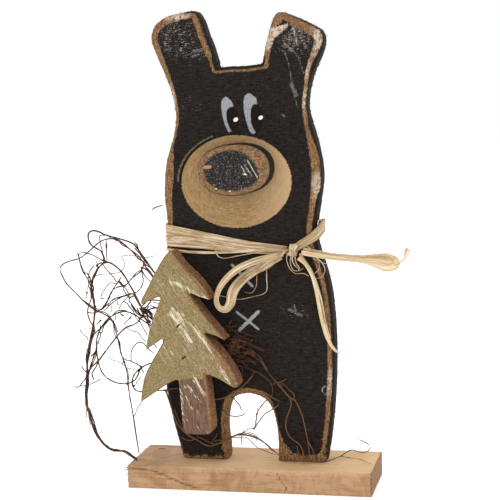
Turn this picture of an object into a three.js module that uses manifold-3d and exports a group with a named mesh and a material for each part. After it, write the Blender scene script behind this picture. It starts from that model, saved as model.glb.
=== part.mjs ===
// A bear sawn out of one flat board and painted, standing on a board plinth, with a nose block on its
// muzzle, a small tree board stapled in front of its right leg, a raffia tie and bow round the neck and
// a tangle of dried vine pinched between the tree and the bear.
// Millimetres, +Z up, front towards -Y, origin at the centre of the plinth's underside.

import * as THREE from 'three';
import { mergeVertices } from 'three/addons/utils/BufferGeometryUtils.js';
import Module from 'manifold-3d';

const wasm = await Module();
wasm.setup();

// Driving dimensions. Every board is the same planed stock.
const BOARD = 19;
const GAP = 0.3;
const PLINTH = { length: 198, depth: 63.5, eased: 0.8 };
const BEAR = { front: -7, chamferWidth: 3.5, chamferDepth: 3 };
const TREE = { behind: 3.5, eased: 0.7 };
const NOSE = { x: -4.3, z: 254.7, halfWidth: 29.3, halfHeight: 20.1, tilt: 4, squareness: 2.25 };
const STAPLE = { wire: 1.2, crown: 5.6, leg: 35, sunk: 0.8, tilt: 40 };
const RAFFIA = { band: 1.6, strip: 1.4, stripWidth: 5.5, tailWidth: 3.6 };

const TREE_BACK = BEAR.front - TREE.behind;
const TREE_FRONT = TREE_BACK - BOARD;
const SLOT = BEAR.front - TREE.behind / 2;
const SOLE = BOARD + GAP;

const material = (color, roughness, metalness = 0) =>
  new THREE.MeshStandardMaterial({ color, roughness, metalness });

const FINISH = {
  blackPaint: material(0x2b2724, 0.85),
  rawPine: material(0xc8a57d, 0.8),
  stainedNose: material(0x9a6f4a, 0.75),
  treePaint: material(0x9e9464, 0.8),
  steel: material(0x4a3423, 0.5, 0.7),
  raffia: material(0xe1c8a0, 0.7),
  vine: material(0x4a3022, 0.9),
};

const group = new THREE.Group();

function addPiece(name, geometry, finish) {
  const mesh = new THREE.Mesh(geometry, finish);
  mesh.name = name;
  group.add(mesh);
  return mesh;
}

// Joining and cutting.

function solidOf(geometry) {
  const bare = geometry.clone();
  bare.deleteAttribute('normal');
  bare.deleteAttribute('uv');
  const merged = mergeVertices(bare, 1e-4);
  const mesh = new wasm.Mesh({
    numProp: 3,
    vertProperties: new Float32Array(merged.attributes.position.array),
    triVerts: new Uint32Array(merged.index.array),
  });
  return new wasm.Manifold(mesh);
}

function geometryOf(solid) {
  const mesh = solid.getMesh();
  const geometry = new THREE.BufferGeometry();
  geometry.setAttribute('position', new THREE.BufferAttribute(mesh.vertProperties, 3));
  geometry.setIndex(new THREE.BufferAttribute(mesh.triVerts, 1));
  geometry.computeVertexNormals();
  return geometry;
}

const fuse = (geometries) =>
  geometryOf(geometries.map(solidOf).reduce((whole, piece) => whole.add(piece)));

const cut = (geometry, ...tools) =>
  geometryOf(tools.map(solidOf).reduce((whole, tool) => whole.subtract(tool), solidOf(geometry)));

function blockBetween(low, high) {
  const size = high.map((value, axis) => value - low[axis]);
  const middle = high.map((value, axis) => (value + low[axis]) / 2);
  return new THREE.BoxGeometry(...size).translate(...middle);
}

// Outlines are drawn in the X-Z plane of a board's face and given its thickness along Y.

function outline(stretches, perStop = 2) {
  const corners = stretches.flatMap(({ points, straight }) => {
    const stops = points.map(([x, z]) => new THREE.Vector2(x, z));
    const line = straight ? stops : new THREE.SplineCurve(stops).getPoints(perStop * (stops.length - 1));
    return line.slice(0, -1);
  });
  return new THREE.Shape(corners);
}

function boardFrom(shape, front, thickness, edgeWidth, edgeDepth) {
  const geometry = new THREE.ExtrudeGeometry(shape, {
    depth: thickness - 2 * edgeDepth,
    bevelThickness: edgeDepth,
    bevelSize: edgeWidth,
    bevelOffset: -edgeWidth,
    bevelSegments: 1,
  });
  return geometry.translate(0, 0, edgeDepth).rotateX(Math.PI / 2).translate(0, front + thickness, 0);
}

// Plinth: a length of board lying flat.

function plinth() {
  const { length, depth, eased } = PLINTH;
  const end = new THREE.Shape();
  end.moveTo(-depth / 2, 0);
  end.lineTo(depth / 2, 0);
  end.lineTo(depth / 2, BOARD - eased);
  end.lineTo(depth / 2 - eased, BOARD);
  end.lineTo(-depth / 2 + eased, BOARD);
  end.lineTo(-depth / 2, BOARD - eased);
  end.closePath();
  const board = new THREE.ExtrudeGeometry(end, { depth: length, bevelEnabled: false });
  return board.rotateX(Math.PI / 2).rotateZ(Math.PI / 2).translate(-length / 2, 0, 0);
}

// Bear: sawn outline, both faces with a sanded chamfer, the soles cut flush on the plinth.

const BELOW_SOLE = 12;

const BEAR_OUTLINE = [
  // left flank from the sole to the ear
  { points: [[-57.8, BELOW_SOLE], [-59.4, 20], [-66.8, 50], [-71.2, 75], [-73.2, 105], [-72.6, 128],
    [-69.3, 160], [-65.1, 190], [-64.5, 207], [-66.1, 228], [-66.1, 243], [-63.4, 262], [-57.3, 280],
    [-54.2, 299], [-58.5, 320], [-66.1, 340], [-71.2, 353], [-72, 361], [-67.5, 369.5], [-57, 375.2],
    [-39, 378.2]] },
  // inner side of the left ear
  { points: [[-39, 378.2], [-34, 377], [-30.6, 369.5], [-27.8, 360], [-23.9, 350], [-19.2, 333.4]] },
  // top of the head
  { points: [[-19.2, 333.4], [-8, 334.1], [4, 334.1], [17, 335.4]] },
  // inner side of the right ear
  { points: [[17, 335.4], [20.3, 350], [24.7, 365], [28, 372.2], [31.5, 374.2], [35, 373.7]] },
  // top of the right ear
  { points: [[35, 373.7], [50, 367.2], [63.5, 359.6]] },
  // right ear and flank down to the sole
  { points: [[63.5, 359.6], [65.3, 355], [65.4, 349], [62.3, 340], [57.5, 330], [54, 320], [51.3, 307],
    [51.8, 296], [56.3, 280], [60.6, 260], [61.2, 243], [57.7, 222], [55.2, 204], [57.4, 190],
    [63.4, 170], [66.7, 150], [68.4, 120], [67.8, 92], [65.3, 60], [62.1, 36], [59.1, 20],
    [57.6, BELOW_SOLE]] },
  { straight: true, points: [[57.6, BELOW_SOLE], [20, BELOW_SOLE]] },
  // arch between the legs
  { points: [[20, BELOW_SOLE], [20.6, 26], [20.5, 41], [17.2, 60], [10.6, 69.6], [1.7, 73.4],
    [-5, 73.8], [-12.5, 71.9], [-18.2, 67.2], [-21.3, 57.9], [-22.6, 47.9], [-22.2, 37], [-21.3, 27],
    [-21.3, BELOW_SOLE]] },
  { straight: true, points: [[-21.3, BELOW_SOLE], [-57.8, BELOW_SOLE]] },
];

function bearBoard(staples) {
  const { front, chamferWidth, chamferDepth } = BEAR;
  const sawn = boardFrom(outline(BEAR_OUTLINE), front, BOARD, chamferWidth, chamferDepth);
  const waste = blockBetween([-100, -50, 0], [100, 50, SOLE]);
  return cut(sawn, waste, ...staples);
}

// Nose: an upright oval block, its front edge sanded round.

function noseBlock() {
  const { x, z, halfWidth, halfHeight, tilt, squareness } = NOSE;
  const depth = BOARD - GAP;
  const edge = [[1, 0], [1, 13.5], [0.975, 15.8], [0.91, 17.6], [0.83, 18.5], [0.72, depth]];
  const profile = [[0, 0], ...edge, [0, depth]].map(([r, h]) => new THREE.Vector2(r, h));
  const block = new THREE.LatheGeometry(profile, 44);
  const place = block.attributes.position;
  const power = 2 / squareness;
  const oval = (cosine, half) => half * Math.sign(cosine) * Math.abs(cosine) ** power;
  for (let i = 0; i < place.count; i += 1) {
    const r = Math.hypot(place.getX(i), place.getZ(i));
    const across = r > 1e-6 ? place.getX(i) / r : 0;
    const along = r > 1e-6 ? place.getZ(i) / r : 0;
    place.setX(i, r * oval(across, halfWidth));
    place.setZ(i, r * oval(along, halfHeight));
  }
  block.rotateX(Math.PI).rotateY(THREE.MathUtils.degToRad(-tilt));
  return block.translate(x, BEAR.front - GAP, z);
}

// Tree: three tiers and a trunk sawn from one board.

const TREE_OUTLINE = [
  { points: [[-56.7, 192.3], [-61.7, 187.7], [-69.8, 175], [-77, 162], [-82.1, 152.8], [-82, 149.6]] },
  { straight: true, points: [[-82, 149.6], [-64.9, 157.2]] },
  { points: [[-64.9, 157.2], [-71.2, 142.5], [-76.2, 129.5], [-80, 113.2]] },
  { straight: true, points: [[-80, 113.2], [-63.6, 123.8], [-63.2, 122.6]] },
  { points: [[-63.2, 122.6], [-71.3, 110.2], [-80, 95.5], [-83.8, 84.5], [-86, 70.5]] },
  { points: [[-86, 70.5], [-72.7, 79.3], [-63, 85.9], [-53.9, 90.1]] },
  { points: [[-53.9, 90.1], [-52.8, 73.5], [-51.5, 49.3], [-48.6, 45.7]] },
  { straight: true, points: [[-48.6, 45.7], [-41, 45.1], [-31, 45.4], [-28, 47.6], [-27.6, 54]] },
  { straight: true, points: [[-27.6, 54], [-30, 82.5], [-31.5, 94.2]] },
  { points: [[-31.5, 94.2], [-28.4, 93.6], [-17.8, 89.1], [-8.8, 83.5]] },
  { straight: true, points: [[-8.8, 83.5], [-5.2, 84.4]] },
  { points: [[-5.2, 84.4], [-6.4, 91], [-12.5, 102.5], [-20, 112.5], [-33, 128.4]] },
  { points: [[-33, 128.4], [-22.5, 125.3], [-14, 121.3]] },
  { points: [[-14, 121.3], [-21.9, 131], [-30.6, 141.4], [-44.3, 160.8]] },
  { points: [[-44.3, 160.8], [-35, 156.4], [-24.8, 153.2]] },
  { points: [[-24.8, 153.2], [-29.8, 162.5], [-38.5, 173], [-45.8, 179.7], [-52.9, 188.8],
    [-54.8, 192.3]] },
  { straight: true, points: [[-54.8, 192.3], [-56.7, 192.3]] },
];

const treeBoard = (staples) =>
  cut(boardFrom(outline(TREE_OUTLINE), TREE_FRONT, BOARD, TREE.eased, TREE.eased), ...staples);

// Staples: narrow crowns sunk in the tree, legs through it into the bear.

const STAPLES = { upper: [-52.5, 132.4], lower: [-48.4, 106.8] };

function stapleAt([x, z], extra = 0) {
  const { wire, crown, leg, sunk, tilt } = STAPLE;
  const half = crown / 2 + extra;
  const inner = crown / 2 - wire - extra;
  const back = -wire - extra;
  const mouth = extra > 0 ? sunk + extra : 0;
  const legEnd = -leg - extra;
  const shape = new THREE.Shape();
  shape.moveTo(-half, mouth);
  shape.lineTo(-half, legEnd);
  shape.lineTo(-inner, legEnd);
  shape.lineTo(-inner, back);
  shape.lineTo(inner, back);
  shape.lineTo(inner, legEnd);
  shape.lineTo(half, legEnd);
  shape.lineTo(half, mouth);
  shape.closePath();
  const thickness = wire + 2 * extra;
  const bent = new THREE.ExtrudeGeometry(shape, { depth: thickness, bevelEnabled: false });
  bent.translate(0, 0, -thickness / 2).rotateZ(Math.PI);
  bent.rotateY(THREE.MathUtils.degToRad(-tilt));
  return bent.translate(x, TREE_FRONT + sunk, z);
}

// Raffia: a flat bundle once round the neck, drawn narrow into the knot, where the bow's strips start.
// Each stop gives the strip's middle, its width, and the way its outer face looks in the X-Y plane.

const NECK = [
  { at: [33, -8.1, 190.2], width: 5.5, out: [0, -1] },
  { at: [5, -8.1, 192.2], width: 8.5, out: [0, -1] },
  { at: [-30, -8.1, 197], width: 12, out: [0, -1] },
  { at: [-62.5, -8.1, 201.4], width: 16, out: [-0.4, -1] },
  { at: [-66.1, -4, 201.7], width: 16, out: [-1, -0.4] },
  { at: [-66.3, 9, 201.7], width: 15.5, out: [-1, 0.4] },
  { at: [-62.5, 13.2, 201.8], width: 15, out: [-0.4, 1] },
  { at: [-30, 13.2, 203], width: 13.5, out: [0, 1] },
  { at: [15, 13.2, 205], width: 11.5, out: [0, 1] },
  { at: [54.2, 13.2, 207.3], width: 9.5, out: [0.4, 1] },
  { at: [59.6, 9.5, 208.4], width: 9, out: [1, 0.5] },
  { at: [61.3, 2, 208.5], width: 8.5, out: [1, 0] },
  { at: [60.3, -4.5, 206.6], width: 7.5, out: [1, -0.5] },
  { at: [54.8, -8.3, 201], width: 6.5, out: [0.3, -1] },
  { at: [44, -8.1, 194.6], width: 5.5, out: [0, -1] },
];

function neckBand() {
  const stops = NECK.map(({ at, width, out }) => ({
    middle: new THREE.Vector3(...at),
    width,
    out: new THREE.Vector3(...out, 0).normalize(),
  }));
  const place = [];
  stops.forEach(({ middle, width, out }, i) => {
    const before = stops[(i + stops.length - 1) % stops.length].middle;
    const after = stops[(i + 1) % stops.length].middle;
    const along = after.clone().sub(before).normalize();
    const up = along.clone().cross(out).normalize().multiplyScalar(width / 2);
    up.multiplyScalar(Math.sign(up.z));
    const half = out.clone().multiplyScalar(RAFFIA.band / 2);
    for (const [side, height] of [[1, -1], [1, 1], [-1, 1], [-1, -1]]) {
      const corner = middle.clone().addScaledVector(half, side).addScaledVector(up, height);
      place.push(corner.x, corner.y, corner.z);
    }
  });
  const index = [];
  for (let i = 0; i < stops.length; i += 1) {
    const next = (i + 1) % stops.length;
    for (let k = 0; k < 4; k += 1) {
      const [a, b] = [4 * i + k, 4 * i + ((k + 1) % 4)];
      const [c, d] = [4 * next + k, 4 * next + ((k + 1) % 4)];
      index.push(a, b, c, b, d, c);
    }
  }
  const band = new THREE.BufferGeometry();
  band.setAttribute('position', new THREE.BufferAttribute(new Float32Array(place), 3));
  band.setIndex(index);
  return band;
}

const KNOT = { at: [38.4, -11, 190.6], half: [5.8, 3.5, 4.6] };

function neckTie() {
  const knot = new THREE.SphereGeometry(1, 12, 8).scale(...KNOT.half).translate(...KNOT.at);
  return fuse([neckBand(), knot]);
}

// Tubes and strips swept along hand-set routes.

const route = (points) =>
  new THREE.CatmullRomCurve3(points.map((point) => new THREE.Vector3(...point)));

function ring(sides, halfDepth, halfWidth) {
  const corners = [];
  for (let i = 0; i < sides; i += 1) {
    const angle = (2 * Math.PI * (i + 0.5)) / sides;
    corners.push(new THREE.Vector2(halfDepth * Math.cos(angle), halfWidth * Math.sin(angle)));
  }
  return new THREE.Shape(corners);
}

const sweep = (points, sides, halfDepth, halfWidth, steps) =>
  new THREE.ExtrudeGeometry(ring(sides, halfDepth, halfWidth), {
    steps,
    extrudePath: route(points),
    bevelEnabled: false,
  });

const BOW = {
  raffia_loop_left: {
    width: RAFFIA.stripWidth,
    points: [[30.4, -12.6, 187.9], [18.7, -15, 184.9], [7.3, -17.5, 182], [-4, -20, 177.1],
      [-13.4, -22, 169.5], [-19.4, -24, 160.9], [-21.2, -25.5, 152.8], [-18.7, -26, 147],
      [-13.9, -25.5, 145.8], [-10.3, -24, 150.4], [-8.9, -22, 158.1], [-3.8, -19, 166.1],
      [4.8, -15.5, 173], [16, -12, 179], [28.4, -9.8, 185.2]],
  },
  raffia_loop_right: {
    width: RAFFIA.stripWidth,
    points: [[45.2, -12.6, 188.8], [56, -13.4, 186.8], [72, -14, 184.6], [90, -14, 182.8],
      [104, -13.8, 180.6], [113, -13, 178.6], [117.4, -11.6, 180.2], [113, -10.2, 182.4],
      [104, -9.6, 183.6], [90, -9.6, 184.4], [74, -9.6, 185.6], [60, -9.4, 187.6], [46, -9.8, 190.6]],
  },
  raffia_tail: {
    width: RAFFIA.tailWidth,
    points: [[42.6, -12.4, 184.6], [48.5, -12.4, 179.5], [53, -12, 171], [55.6, -11, 160],
      [57.6, -10.2, 147], [60, -9.8, 133], [63.5, -9.8, 121], [68, -9.6, 112.5], [72.4, -9.2, 108.6]],
  },
};

const strip = ({ width, points }) =>
  sweep(points, 8, RAFFIA.strip / 2, width / 2, 3 * (points.length - 1));

// Vine: one dried tangle. The long runner climbs from the plinth's left end, turns over behind the tree
// and trails down the right leg; the others branch from it and run into each other where they cross.
// Between the tree and the bear every runner lies in the slot, at Y = SLOT.

const RUNNERS = {
  stem: { r: 1, sides: 6, points: [[-94, -20, 20.9], [-98.5, -18.5, 22.5], [-105, -17, 27],
    [-114, -16, 25.5], [-124, -14, 30], [-132, -13, 41], [-137, -12, 58], [-139, -12, 70],
    [-137, -12, 84], [-136, -12, 98], [-134, -11, 113], [-131, -10, 125]] },
  rise: { r: 0.9, points: [[-131, -10, 125], [-129, -9, 137], [-129, -8, 146], [-131, -7, 156],
    [-131, -6, 165], [-127, -6, 173], [-120, -7, 180], [-115, -8, 181], [-109, -9, 178],
    [-103, -9, 172], [-98, -9, 163], [-93, -9, 154], [-90, SLOT, 147], [-83, SLOT, 137],
    [-71, SLOT, 128], [-58, SLOT, 123], [-44, SLOT, 119], [-20, SLOT, 114], [-5, -9, 112],
    [4.8, -9.5, 108.4], [9.8, -9.8, 102.1], [15.5, -10, 91.9], [21.2, -10, 84.3], [27.9, -10, 76.8],
    [33.2, -10, 70.2], [33, -10, 65.5], [29, -9.8, 56.1], [27.8, -9.6, 47.5], [31, -9.6, 39.8],
    [36.9, -9.8, 36.1], [40.6, -10, 32.6], [41.6, -10, 25.4], [44.5, -10.6, 21]] },
  twin: { r: 0.8, points: [[-93, -23, 20.6], [-100, -21, 24], [-107, -19.5, 27.5], [-119, -17.5, 28.5],
    [-129, -15.5, 40], [-136, -13.5, 56], [-137.5, -12.6, 70], [-136, -12, 86], [-132, -11, 100],
    [-128, -10, 110], [-128, -9, 118], [-125, -9, 125], [-118, -9, 134], [-110, -9, 139],
    [-103, -9, 141], [-96, SLOT, 139], [-89, SLOT, 134], [-77, SLOT, 127], [-60, SLOT, 121],
    [-44, SLOT, 119]] },
  diagonal: { r: 0.8, points: [[-137, -12, 86], [-133, -13, 94], [-126, -15, 100], [-108, -17, 121],
    [-100, -16, 129], [-92, -13, 131], [-89, -10, 136], [-86, SLOT, 140], [-77, SLOT, 144],
    [-68, SLOT, 142], [-62.5, SLOT, 136]] },
  arch: { r: 0.9, points: [[-59, SLOT, 123.5], [-61.5, SLOT, 135], [-64, SLOT, 150], [-69, SLOT, 165],
    [-77, SLOT, 173], [-83, -8, 182], [-88, -7, 188], [-93, -6, 195], [-104, -5, 199],
    [-118, -6, 203], [-123, -7, 206], [-130, -8, 207], [-131.5, -9, 202], [-129, -8, 194],
    [-121, -7, 190], [-118.5, -7, 180.5]] },
  outer: { r: 0.7, points: [[-64.5, SLOT, 148], [-70, SLOT, 160], [-79, SLOT, 170], [-85, -9, 180],
    [-89, -10, 187], [-95, -11, 191], [-101, -11, 197], [-107, -10, 200], [-115, -9, 200],
    [-121, -9, 198], [-133, -10, 188], [-139, -11, 184], [-149, -12, 182], [-157, -13, 176],
    [-154, -12, 172], [-153, -11, 166], [-145, -10, 157], [-134, -8, 145], [-125, -8, 140],
    [-117, -8, 136], [-113, -9, 131], [-109, -10, 116], [-107, -10, 105], [-103.5, -9, 93],
    [-103, -7, 74], [-101, -5, 54], [-99, -4, 32], [-97.5, -4, 20.4]] },
  low: { r: 0.7, points: [[-128, -10, 110], [-128, -9, 101], [-125, -7, 88], [-119, -7, 83],
    [-110, -7, 80], [-102, -8, 81], [-95, -9, 85], [-93, -9, 91], [-90, -9, 95], [-83, SLOT, 98],
    [-60, SLOT, 101], [-40, SLOT, 99], [-20, SLOT, 98], [-7, -9, 97], [4.3, -9.5, 93.4],
    [12.7, -9.6, 88.5], [17.7, -9.6, 82.5], [18.9, -9.6, 77.4], [15.6, -9.6, 70.5]] },
  foot: { r: 0.7, points: [[-90, -9, 95], [-96, -10, 90], [-99, -10, 84], [-99, -10, 80],
    [-97, -9, 75], [-91, SLOT, 74], [-83, SLOT, 75], [-71, SLOT, 76], [-61, SLOT, 78],
    [-44, SLOT, 73], [-29, SLOT, 69], [-11, -9, 77], [1, -9.2, 88], [4.3, -9.5, 93.4]] },
  spike: { r: 0.6, points: [[-119, -7, 181], [-129, -8, 187], [-140, -9, 189], [-139, -9, 180],
    [-137, -9, 172], [-133, -8, 167], [-131, -7, 156]] },
  cross: { r: 0.6, points: [[-129, -8.5, 140], [-123, -9, 142], [-117, -10, 148], [-114, -11, 155],
    [-110, -11, 160], [-101, -11, 162], [-95, -10, 168], [-87, -9, 174], [-85, -9, 180]] },
  inner: { r: 0.6, points: [[-123, -9, 142], [-116, -8, 147], [-112, -8, 151], [-103, -8, 153],
    [-95, -8, 155], [-89, -8, 159], [-86, -8.5, 166], [-87, -9, 174]] },
  leg: { r: 0.8, points: [[-71, SLOT, 76], [-68.5, -9, 68], [-66.6, -9, 61.6], [-61.2, -9, 46.9],
    [-53.5, -9, 39.3], [-44.7, -9, 34.6], [-36.9, -9, 30.4], [-29.9, -9, 32], [-21.8, -9, 36.3],
    [-11.8, -9, 40.5], [-3.1, -9, 40.2], [7.5, -9, 36.4], [15.1, -9, 30.5], [21.9, -9.4, 24.6],
    [27.5, -10, 21], [36, -10.6, 20.4], [44.5, -10.6, 21], [51.5, -11, 20.5], [59.2, -9.7, 20.6],
    [64.7, -4, 21.5], [69.8, 2, 22.4], [77.5, 14, 24.8], [85, 14, 22.2], [91.8, 18, 24.4],
    [91.5, 17, 28], [87, 15, 31], [82.7, 13, 33.9]] },
  trail: { r: 0.6, points: [[69.8, 2, 22.4], [77, 2, 21.2], [83.8, 2, 20.9], [90, -4, 20.6],
    [97, -11, 20.4]] },
};

function vine() {
  const runners = Object.values(RUNNERS).map(({ r, sides = 5, points }) =>
    sweep(points, sides, r, r, 2 * (points.length - 1)));
  return fuse(runners);
}

addPiece('plinth', plinth(), FINISH.rawPine);
const holes = Object.values(STAPLES).map((place) => stapleAt(place, GAP));
addPiece('bear_board', bearBoard(holes), FINISH.blackPaint);
addPiece('nose_block', noseBlock(), FINISH.stainedNose);
addPiece('tree_board', treeBoard(holes), FINISH.treePaint);
for (const [name, place] of Object.entries(STAPLES)) {
  addPiece(`tree_staple_${name}`, stapleAt(place), FINISH.steel);
}
addPiece('raffia_neck_tie', neckTie(), FINISH.raffia);
for (const [name, bow] of Object.entries(BOW)) {
  addPiece(name, strip(bow), FINISH.raffia);
}
addPiece('vine_tangle', vine(), FINISH.vine);

export default group;
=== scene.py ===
"""The looks of a painted cut-out bear on a plinth, built around its solids.

Places are in millimetres, in the frame of the part, and become metres where a mesh or the camera is
made. Only the lamps and the floor are given in metres. Colours are red, green and blue, 0 to 255.
"""
import math
import random

import bmesh
import bpy
import numpy as np
from mathutils import Matrix, Vector, noise


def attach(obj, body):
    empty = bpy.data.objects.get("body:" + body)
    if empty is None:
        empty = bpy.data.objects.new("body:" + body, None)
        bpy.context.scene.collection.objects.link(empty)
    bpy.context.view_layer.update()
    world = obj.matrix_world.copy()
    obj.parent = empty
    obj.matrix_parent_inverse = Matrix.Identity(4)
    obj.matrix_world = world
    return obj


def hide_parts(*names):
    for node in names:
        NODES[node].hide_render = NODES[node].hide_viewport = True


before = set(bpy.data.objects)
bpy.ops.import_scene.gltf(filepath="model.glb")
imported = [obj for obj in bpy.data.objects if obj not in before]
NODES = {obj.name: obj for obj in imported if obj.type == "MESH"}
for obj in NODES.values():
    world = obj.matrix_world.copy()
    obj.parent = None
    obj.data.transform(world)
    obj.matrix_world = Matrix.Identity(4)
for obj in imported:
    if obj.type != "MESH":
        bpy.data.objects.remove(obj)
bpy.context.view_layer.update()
MM = 0.001
TINY = 1e-9
# A distance too large for a painted line to show, on the same side of a board or behind it.
FAR_OFF = 9.0
BEHIND = 50.0

# Planes of the construction, along Y, and the height of the plinth.
BEAR_FRONT = -7
CHAMFER_DEPTH = 3
TREE_MIDDLE = -20
TREE_FRONT = -29.5
SLOT = -8.75
PLINTH_TOP = 19

CAMERA = {"azimuth": 13.4, "elevation": 7.05, "roll": -1.9, "distance": 1050, "lens": 95.05,
          "sensor": 36, "reach": 20, "target": (1.2, 0, 189.3)}
# Each lamp's place, side and power.
LAMPS = {"key": ((-0.9, -1.1, 1.9), 0.8, 7), "fill": ((1.4, -1.3, 0.9), 1.4, 1.5),
         "back": ((0.3, 1.6, 1.2), 1.4, 5)}
LAMPS_AIM = (0, 0, 0.19)
FLOOR = {"side": 12, "grey": 0.9, "glow": 0.35}
WHITE = (1, 1, 1, 1)


# Camera, floor and light.

def camera_axes():
    azimuth, elevation, roll = (math.radians(CAMERA[k]) for k in ("azimuth", "elevation", "roll"))
    back = Vector((math.sin(azimuth) * math.cos(elevation), -math.cos(azimuth) * math.cos(elevation),
                   math.sin(elevation)))
    right = Vector((math.cos(azimuth), math.sin(azimuth), 0))
    up = (-back).cross(right) * -1
    leaned_right = right * math.cos(roll) + up * math.sin(roll)
    leaned_up = up * math.cos(roll) - right * math.sin(roll)
    return leaned_right, leaned_up, back


EYE = Vector(CAMERA["target"]) + camera_axes()[2] * CAMERA["distance"]


def camera():
    data = bpy.data.cameras.new("camera")
    data.lens = CAMERA["lens"]
    data.sensor_width = CAMERA["sensor"]
    data.clip_end = CAMERA["reach"]
    view = bpy.data.objects.new("camera", data)
    view.matrix_world = Matrix.Translation(EYE * MM) @ Matrix(camera_axes()).transposed().to_4x4()
    bpy.context.scene.collection.objects.link(view)
    bpy.context.scene.camera = view


def area_light(name, place, side, power):
    data = bpy.data.lights.new(name, "AREA")
    data.energy = power
    data.size = side
    lamp = bpy.data.objects.new(name, data)
    lamp.location = place
    aim = Vector(LAMPS_AIM) - Vector(place)
    lamp.rotation_euler = aim.to_track_quat("-Z", "Y").to_euler()
    bpy.context.scene.collection.objects.link(lamp)


def studio():
    world = bpy.data.worlds.new("studio")
    world.use_nodes = True
    background = world.node_tree.nodes["Background"]
    background.inputs["Color"].default_value = WHITE
    background.inputs["Strength"].default_value = 1.0
    bpy.context.scene.world = world
    bpy.context.scene.view_settings.view_transform = "Standard"
    for name, settings in LAMPS.items():
        area_light(name, *settings)
    bpy.ops.mesh.primitive_plane_add(size=FLOOR["side"], location=(0, 0, 0))
    floor = bpy.context.object
    floor.name = "floor"
    paint = Paint("floor_white", roughness=1.0, specular=0.0)
    paint.colour([FLOOR["grey"]] * 3)
    paint.shader.inputs["Emission Color"].default_value = WHITE
    paint.shader.inputs["Emission Strength"].default_value = FLOOR["glow"]
    floor.data.materials.append(paint.material)


# Materials.

def srgb(red, green, blue):
    """A colour given as 0 to 255, as light values."""
    def light(value):
        share = value / 255
        return share / 12.92 if share <= 0.04045 else ((share + 0.055) / 1.055) ** 2.4
    return (light(red), light(green), light(blue))


class Paint:
    """One node material. Each method adds nodes and gives back the socket that carries the result."""

    def __init__(self, name, roughness=0.8, specular=0.3, metallic=0.0):
        self.material = bpy.data.materials.new(name)
        self.material.use_nodes = True
        self.tree = self.material.node_tree
        self.shader = self.tree.nodes["Principled BSDF"]
        self.shader.inputs["Roughness"].default_value = roughness
        self.shader.inputs["Specular IOR Level"].default_value = specular
        self.shader.inputs["Metallic"].default_value = metallic
        scaled = self.node("ShaderNodeVectorMath", operation="SCALE")
        self.give(scaled.inputs[0], self.node("ShaderNodeTexCoord").outputs["Object"])
        scaled.inputs["Scale"].default_value = 1 / MM
        self.place = scaled.outputs["Vector"]

    def node(self, kind, **settings):
        made = self.tree.nodes.new(kind)
        for name, value in settings.items():
            setattr(made, name, value)
        return made

    def give(self, socket, value):
        if isinstance(value, bpy.types.NodeSocket):
            self.tree.links.new(value, socket)
        elif isinstance(value, (tuple, list)) and len(value) == 3 and socket.type == "RGBA":
            socket.default_value = (*value, 1)
        else:
            socket.default_value = value

    def value(self, name):
        """A value stored on the mesh's points."""
        return self.node("ShaderNodeAttribute", attribute_name=name).outputs["Fac"]

    def sum(self, a, b, operation="ADD"):
        made = self.node("ShaderNodeMath", operation=operation)
        self.give(made.inputs[0], a)
        self.give(made.inputs[1], b)
        return made.outputs["Value"]

    def times(self, a, b):
        return self.sum(a, b, "MULTIPLY")

    def joined(self, x, y, z=0.0):
        made = self.node("ShaderNodeCombineXYZ")
        for socket, value in zip(made.inputs, (x, y, z)):
            self.give(socket, value)
        return made.outputs["Vector"]

    def cloud(self, scale, detail, rough, vector=None, twist=0.0):
        """Noise, about 0.25 to 0.75, with features of 1 / scale millimetres."""
        made = self.node("ShaderNodeTexNoise")
        self.give(made.inputs["Vector"], self.place if vector is None else vector)
        for name, setting in (("Scale", scale), ("Detail", detail), ("Roughness", rough),
                              ("Distortion", twist)):
            made.inputs[name].default_value = setting
        return made.outputs["Fac"]

    def grain(self, scale, detail, rough, turn=0.0, twist=0.0):
        """Noise with a scale of its own along each axis, turned about Y."""
        turned = self.node("ShaderNodeMapping")
        self.give(turned.inputs["Vector"], self.place)
        turned.inputs["Rotation"].default_value = (0, math.radians(turn), 0)
        scaled = self.node("ShaderNodeVectorMath", operation="MULTIPLY")
        self.give(scaled.inputs[0], turned.outputs["Vector"])
        scaled.inputs[1].default_value = scale
        return self.cloud(1.0, detail, rough, scaled.outputs["Vector"], twist)

    def centred(self, cloud):
        """Noise moved to lie about zero."""
        return self.sum(cloud, 0.5, "SUBTRACT")

    def frayed(self, name, ragged, amount):
        """A stored distance, made ragged by noise."""
        return self.sum(self.value(name), self.times(ragged, amount))

    def step(self, value, low, high):
        """0 below low, 1 above high and smooth between, or the other way round where low is the higher."""
        made = self.node("ShaderNodeMapRange", interpolation_type="SMOOTHSTEP")
        self.give(made.inputs["Value"], value)
        for name, limit in (("From Min", min(low, high)), ("From Max", max(low, high)),
                            ("To Min", int(low >= high)), ("To Max", int(low < high))):
            made.inputs[name].default_value = limit
        return made.outputs["Result"]

    def mix(self, share, a, b):
        made = self.node("ShaderNodeMix", data_type="RGBA")
        for index, value in ((0, share), (6, a), (7, b)):
            self.give(made.inputs[index], value)
        return made.outputs[2]

    def blend(self, value, low, high, a, b):
        return self.mix(self.step(value, low, high), a, b)

    def over(self, base, value, low, high, colour, share=None):
        """Lays a colour over base where value runs from low to high, at most by share."""
        amount = self.step(value, low, high)
        return self.mix(amount if share is None else self.times(amount, share), base, colour)

    def colour(self, value):
        self.give(self.shader.inputs["Base Color"], value)

    def relief(self, height, depth):
        """Bump of a depth in millimetres."""
        made = self.node("ShaderNodeBump")
        made.inputs["Strength"].default_value = 1.0
        made.inputs["Distance"].default_value = depth * MM
        self.give(made.inputs["Height"], height)
        self.give(self.shader.inputs["Normal"], made.outputs["Normal"])


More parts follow.
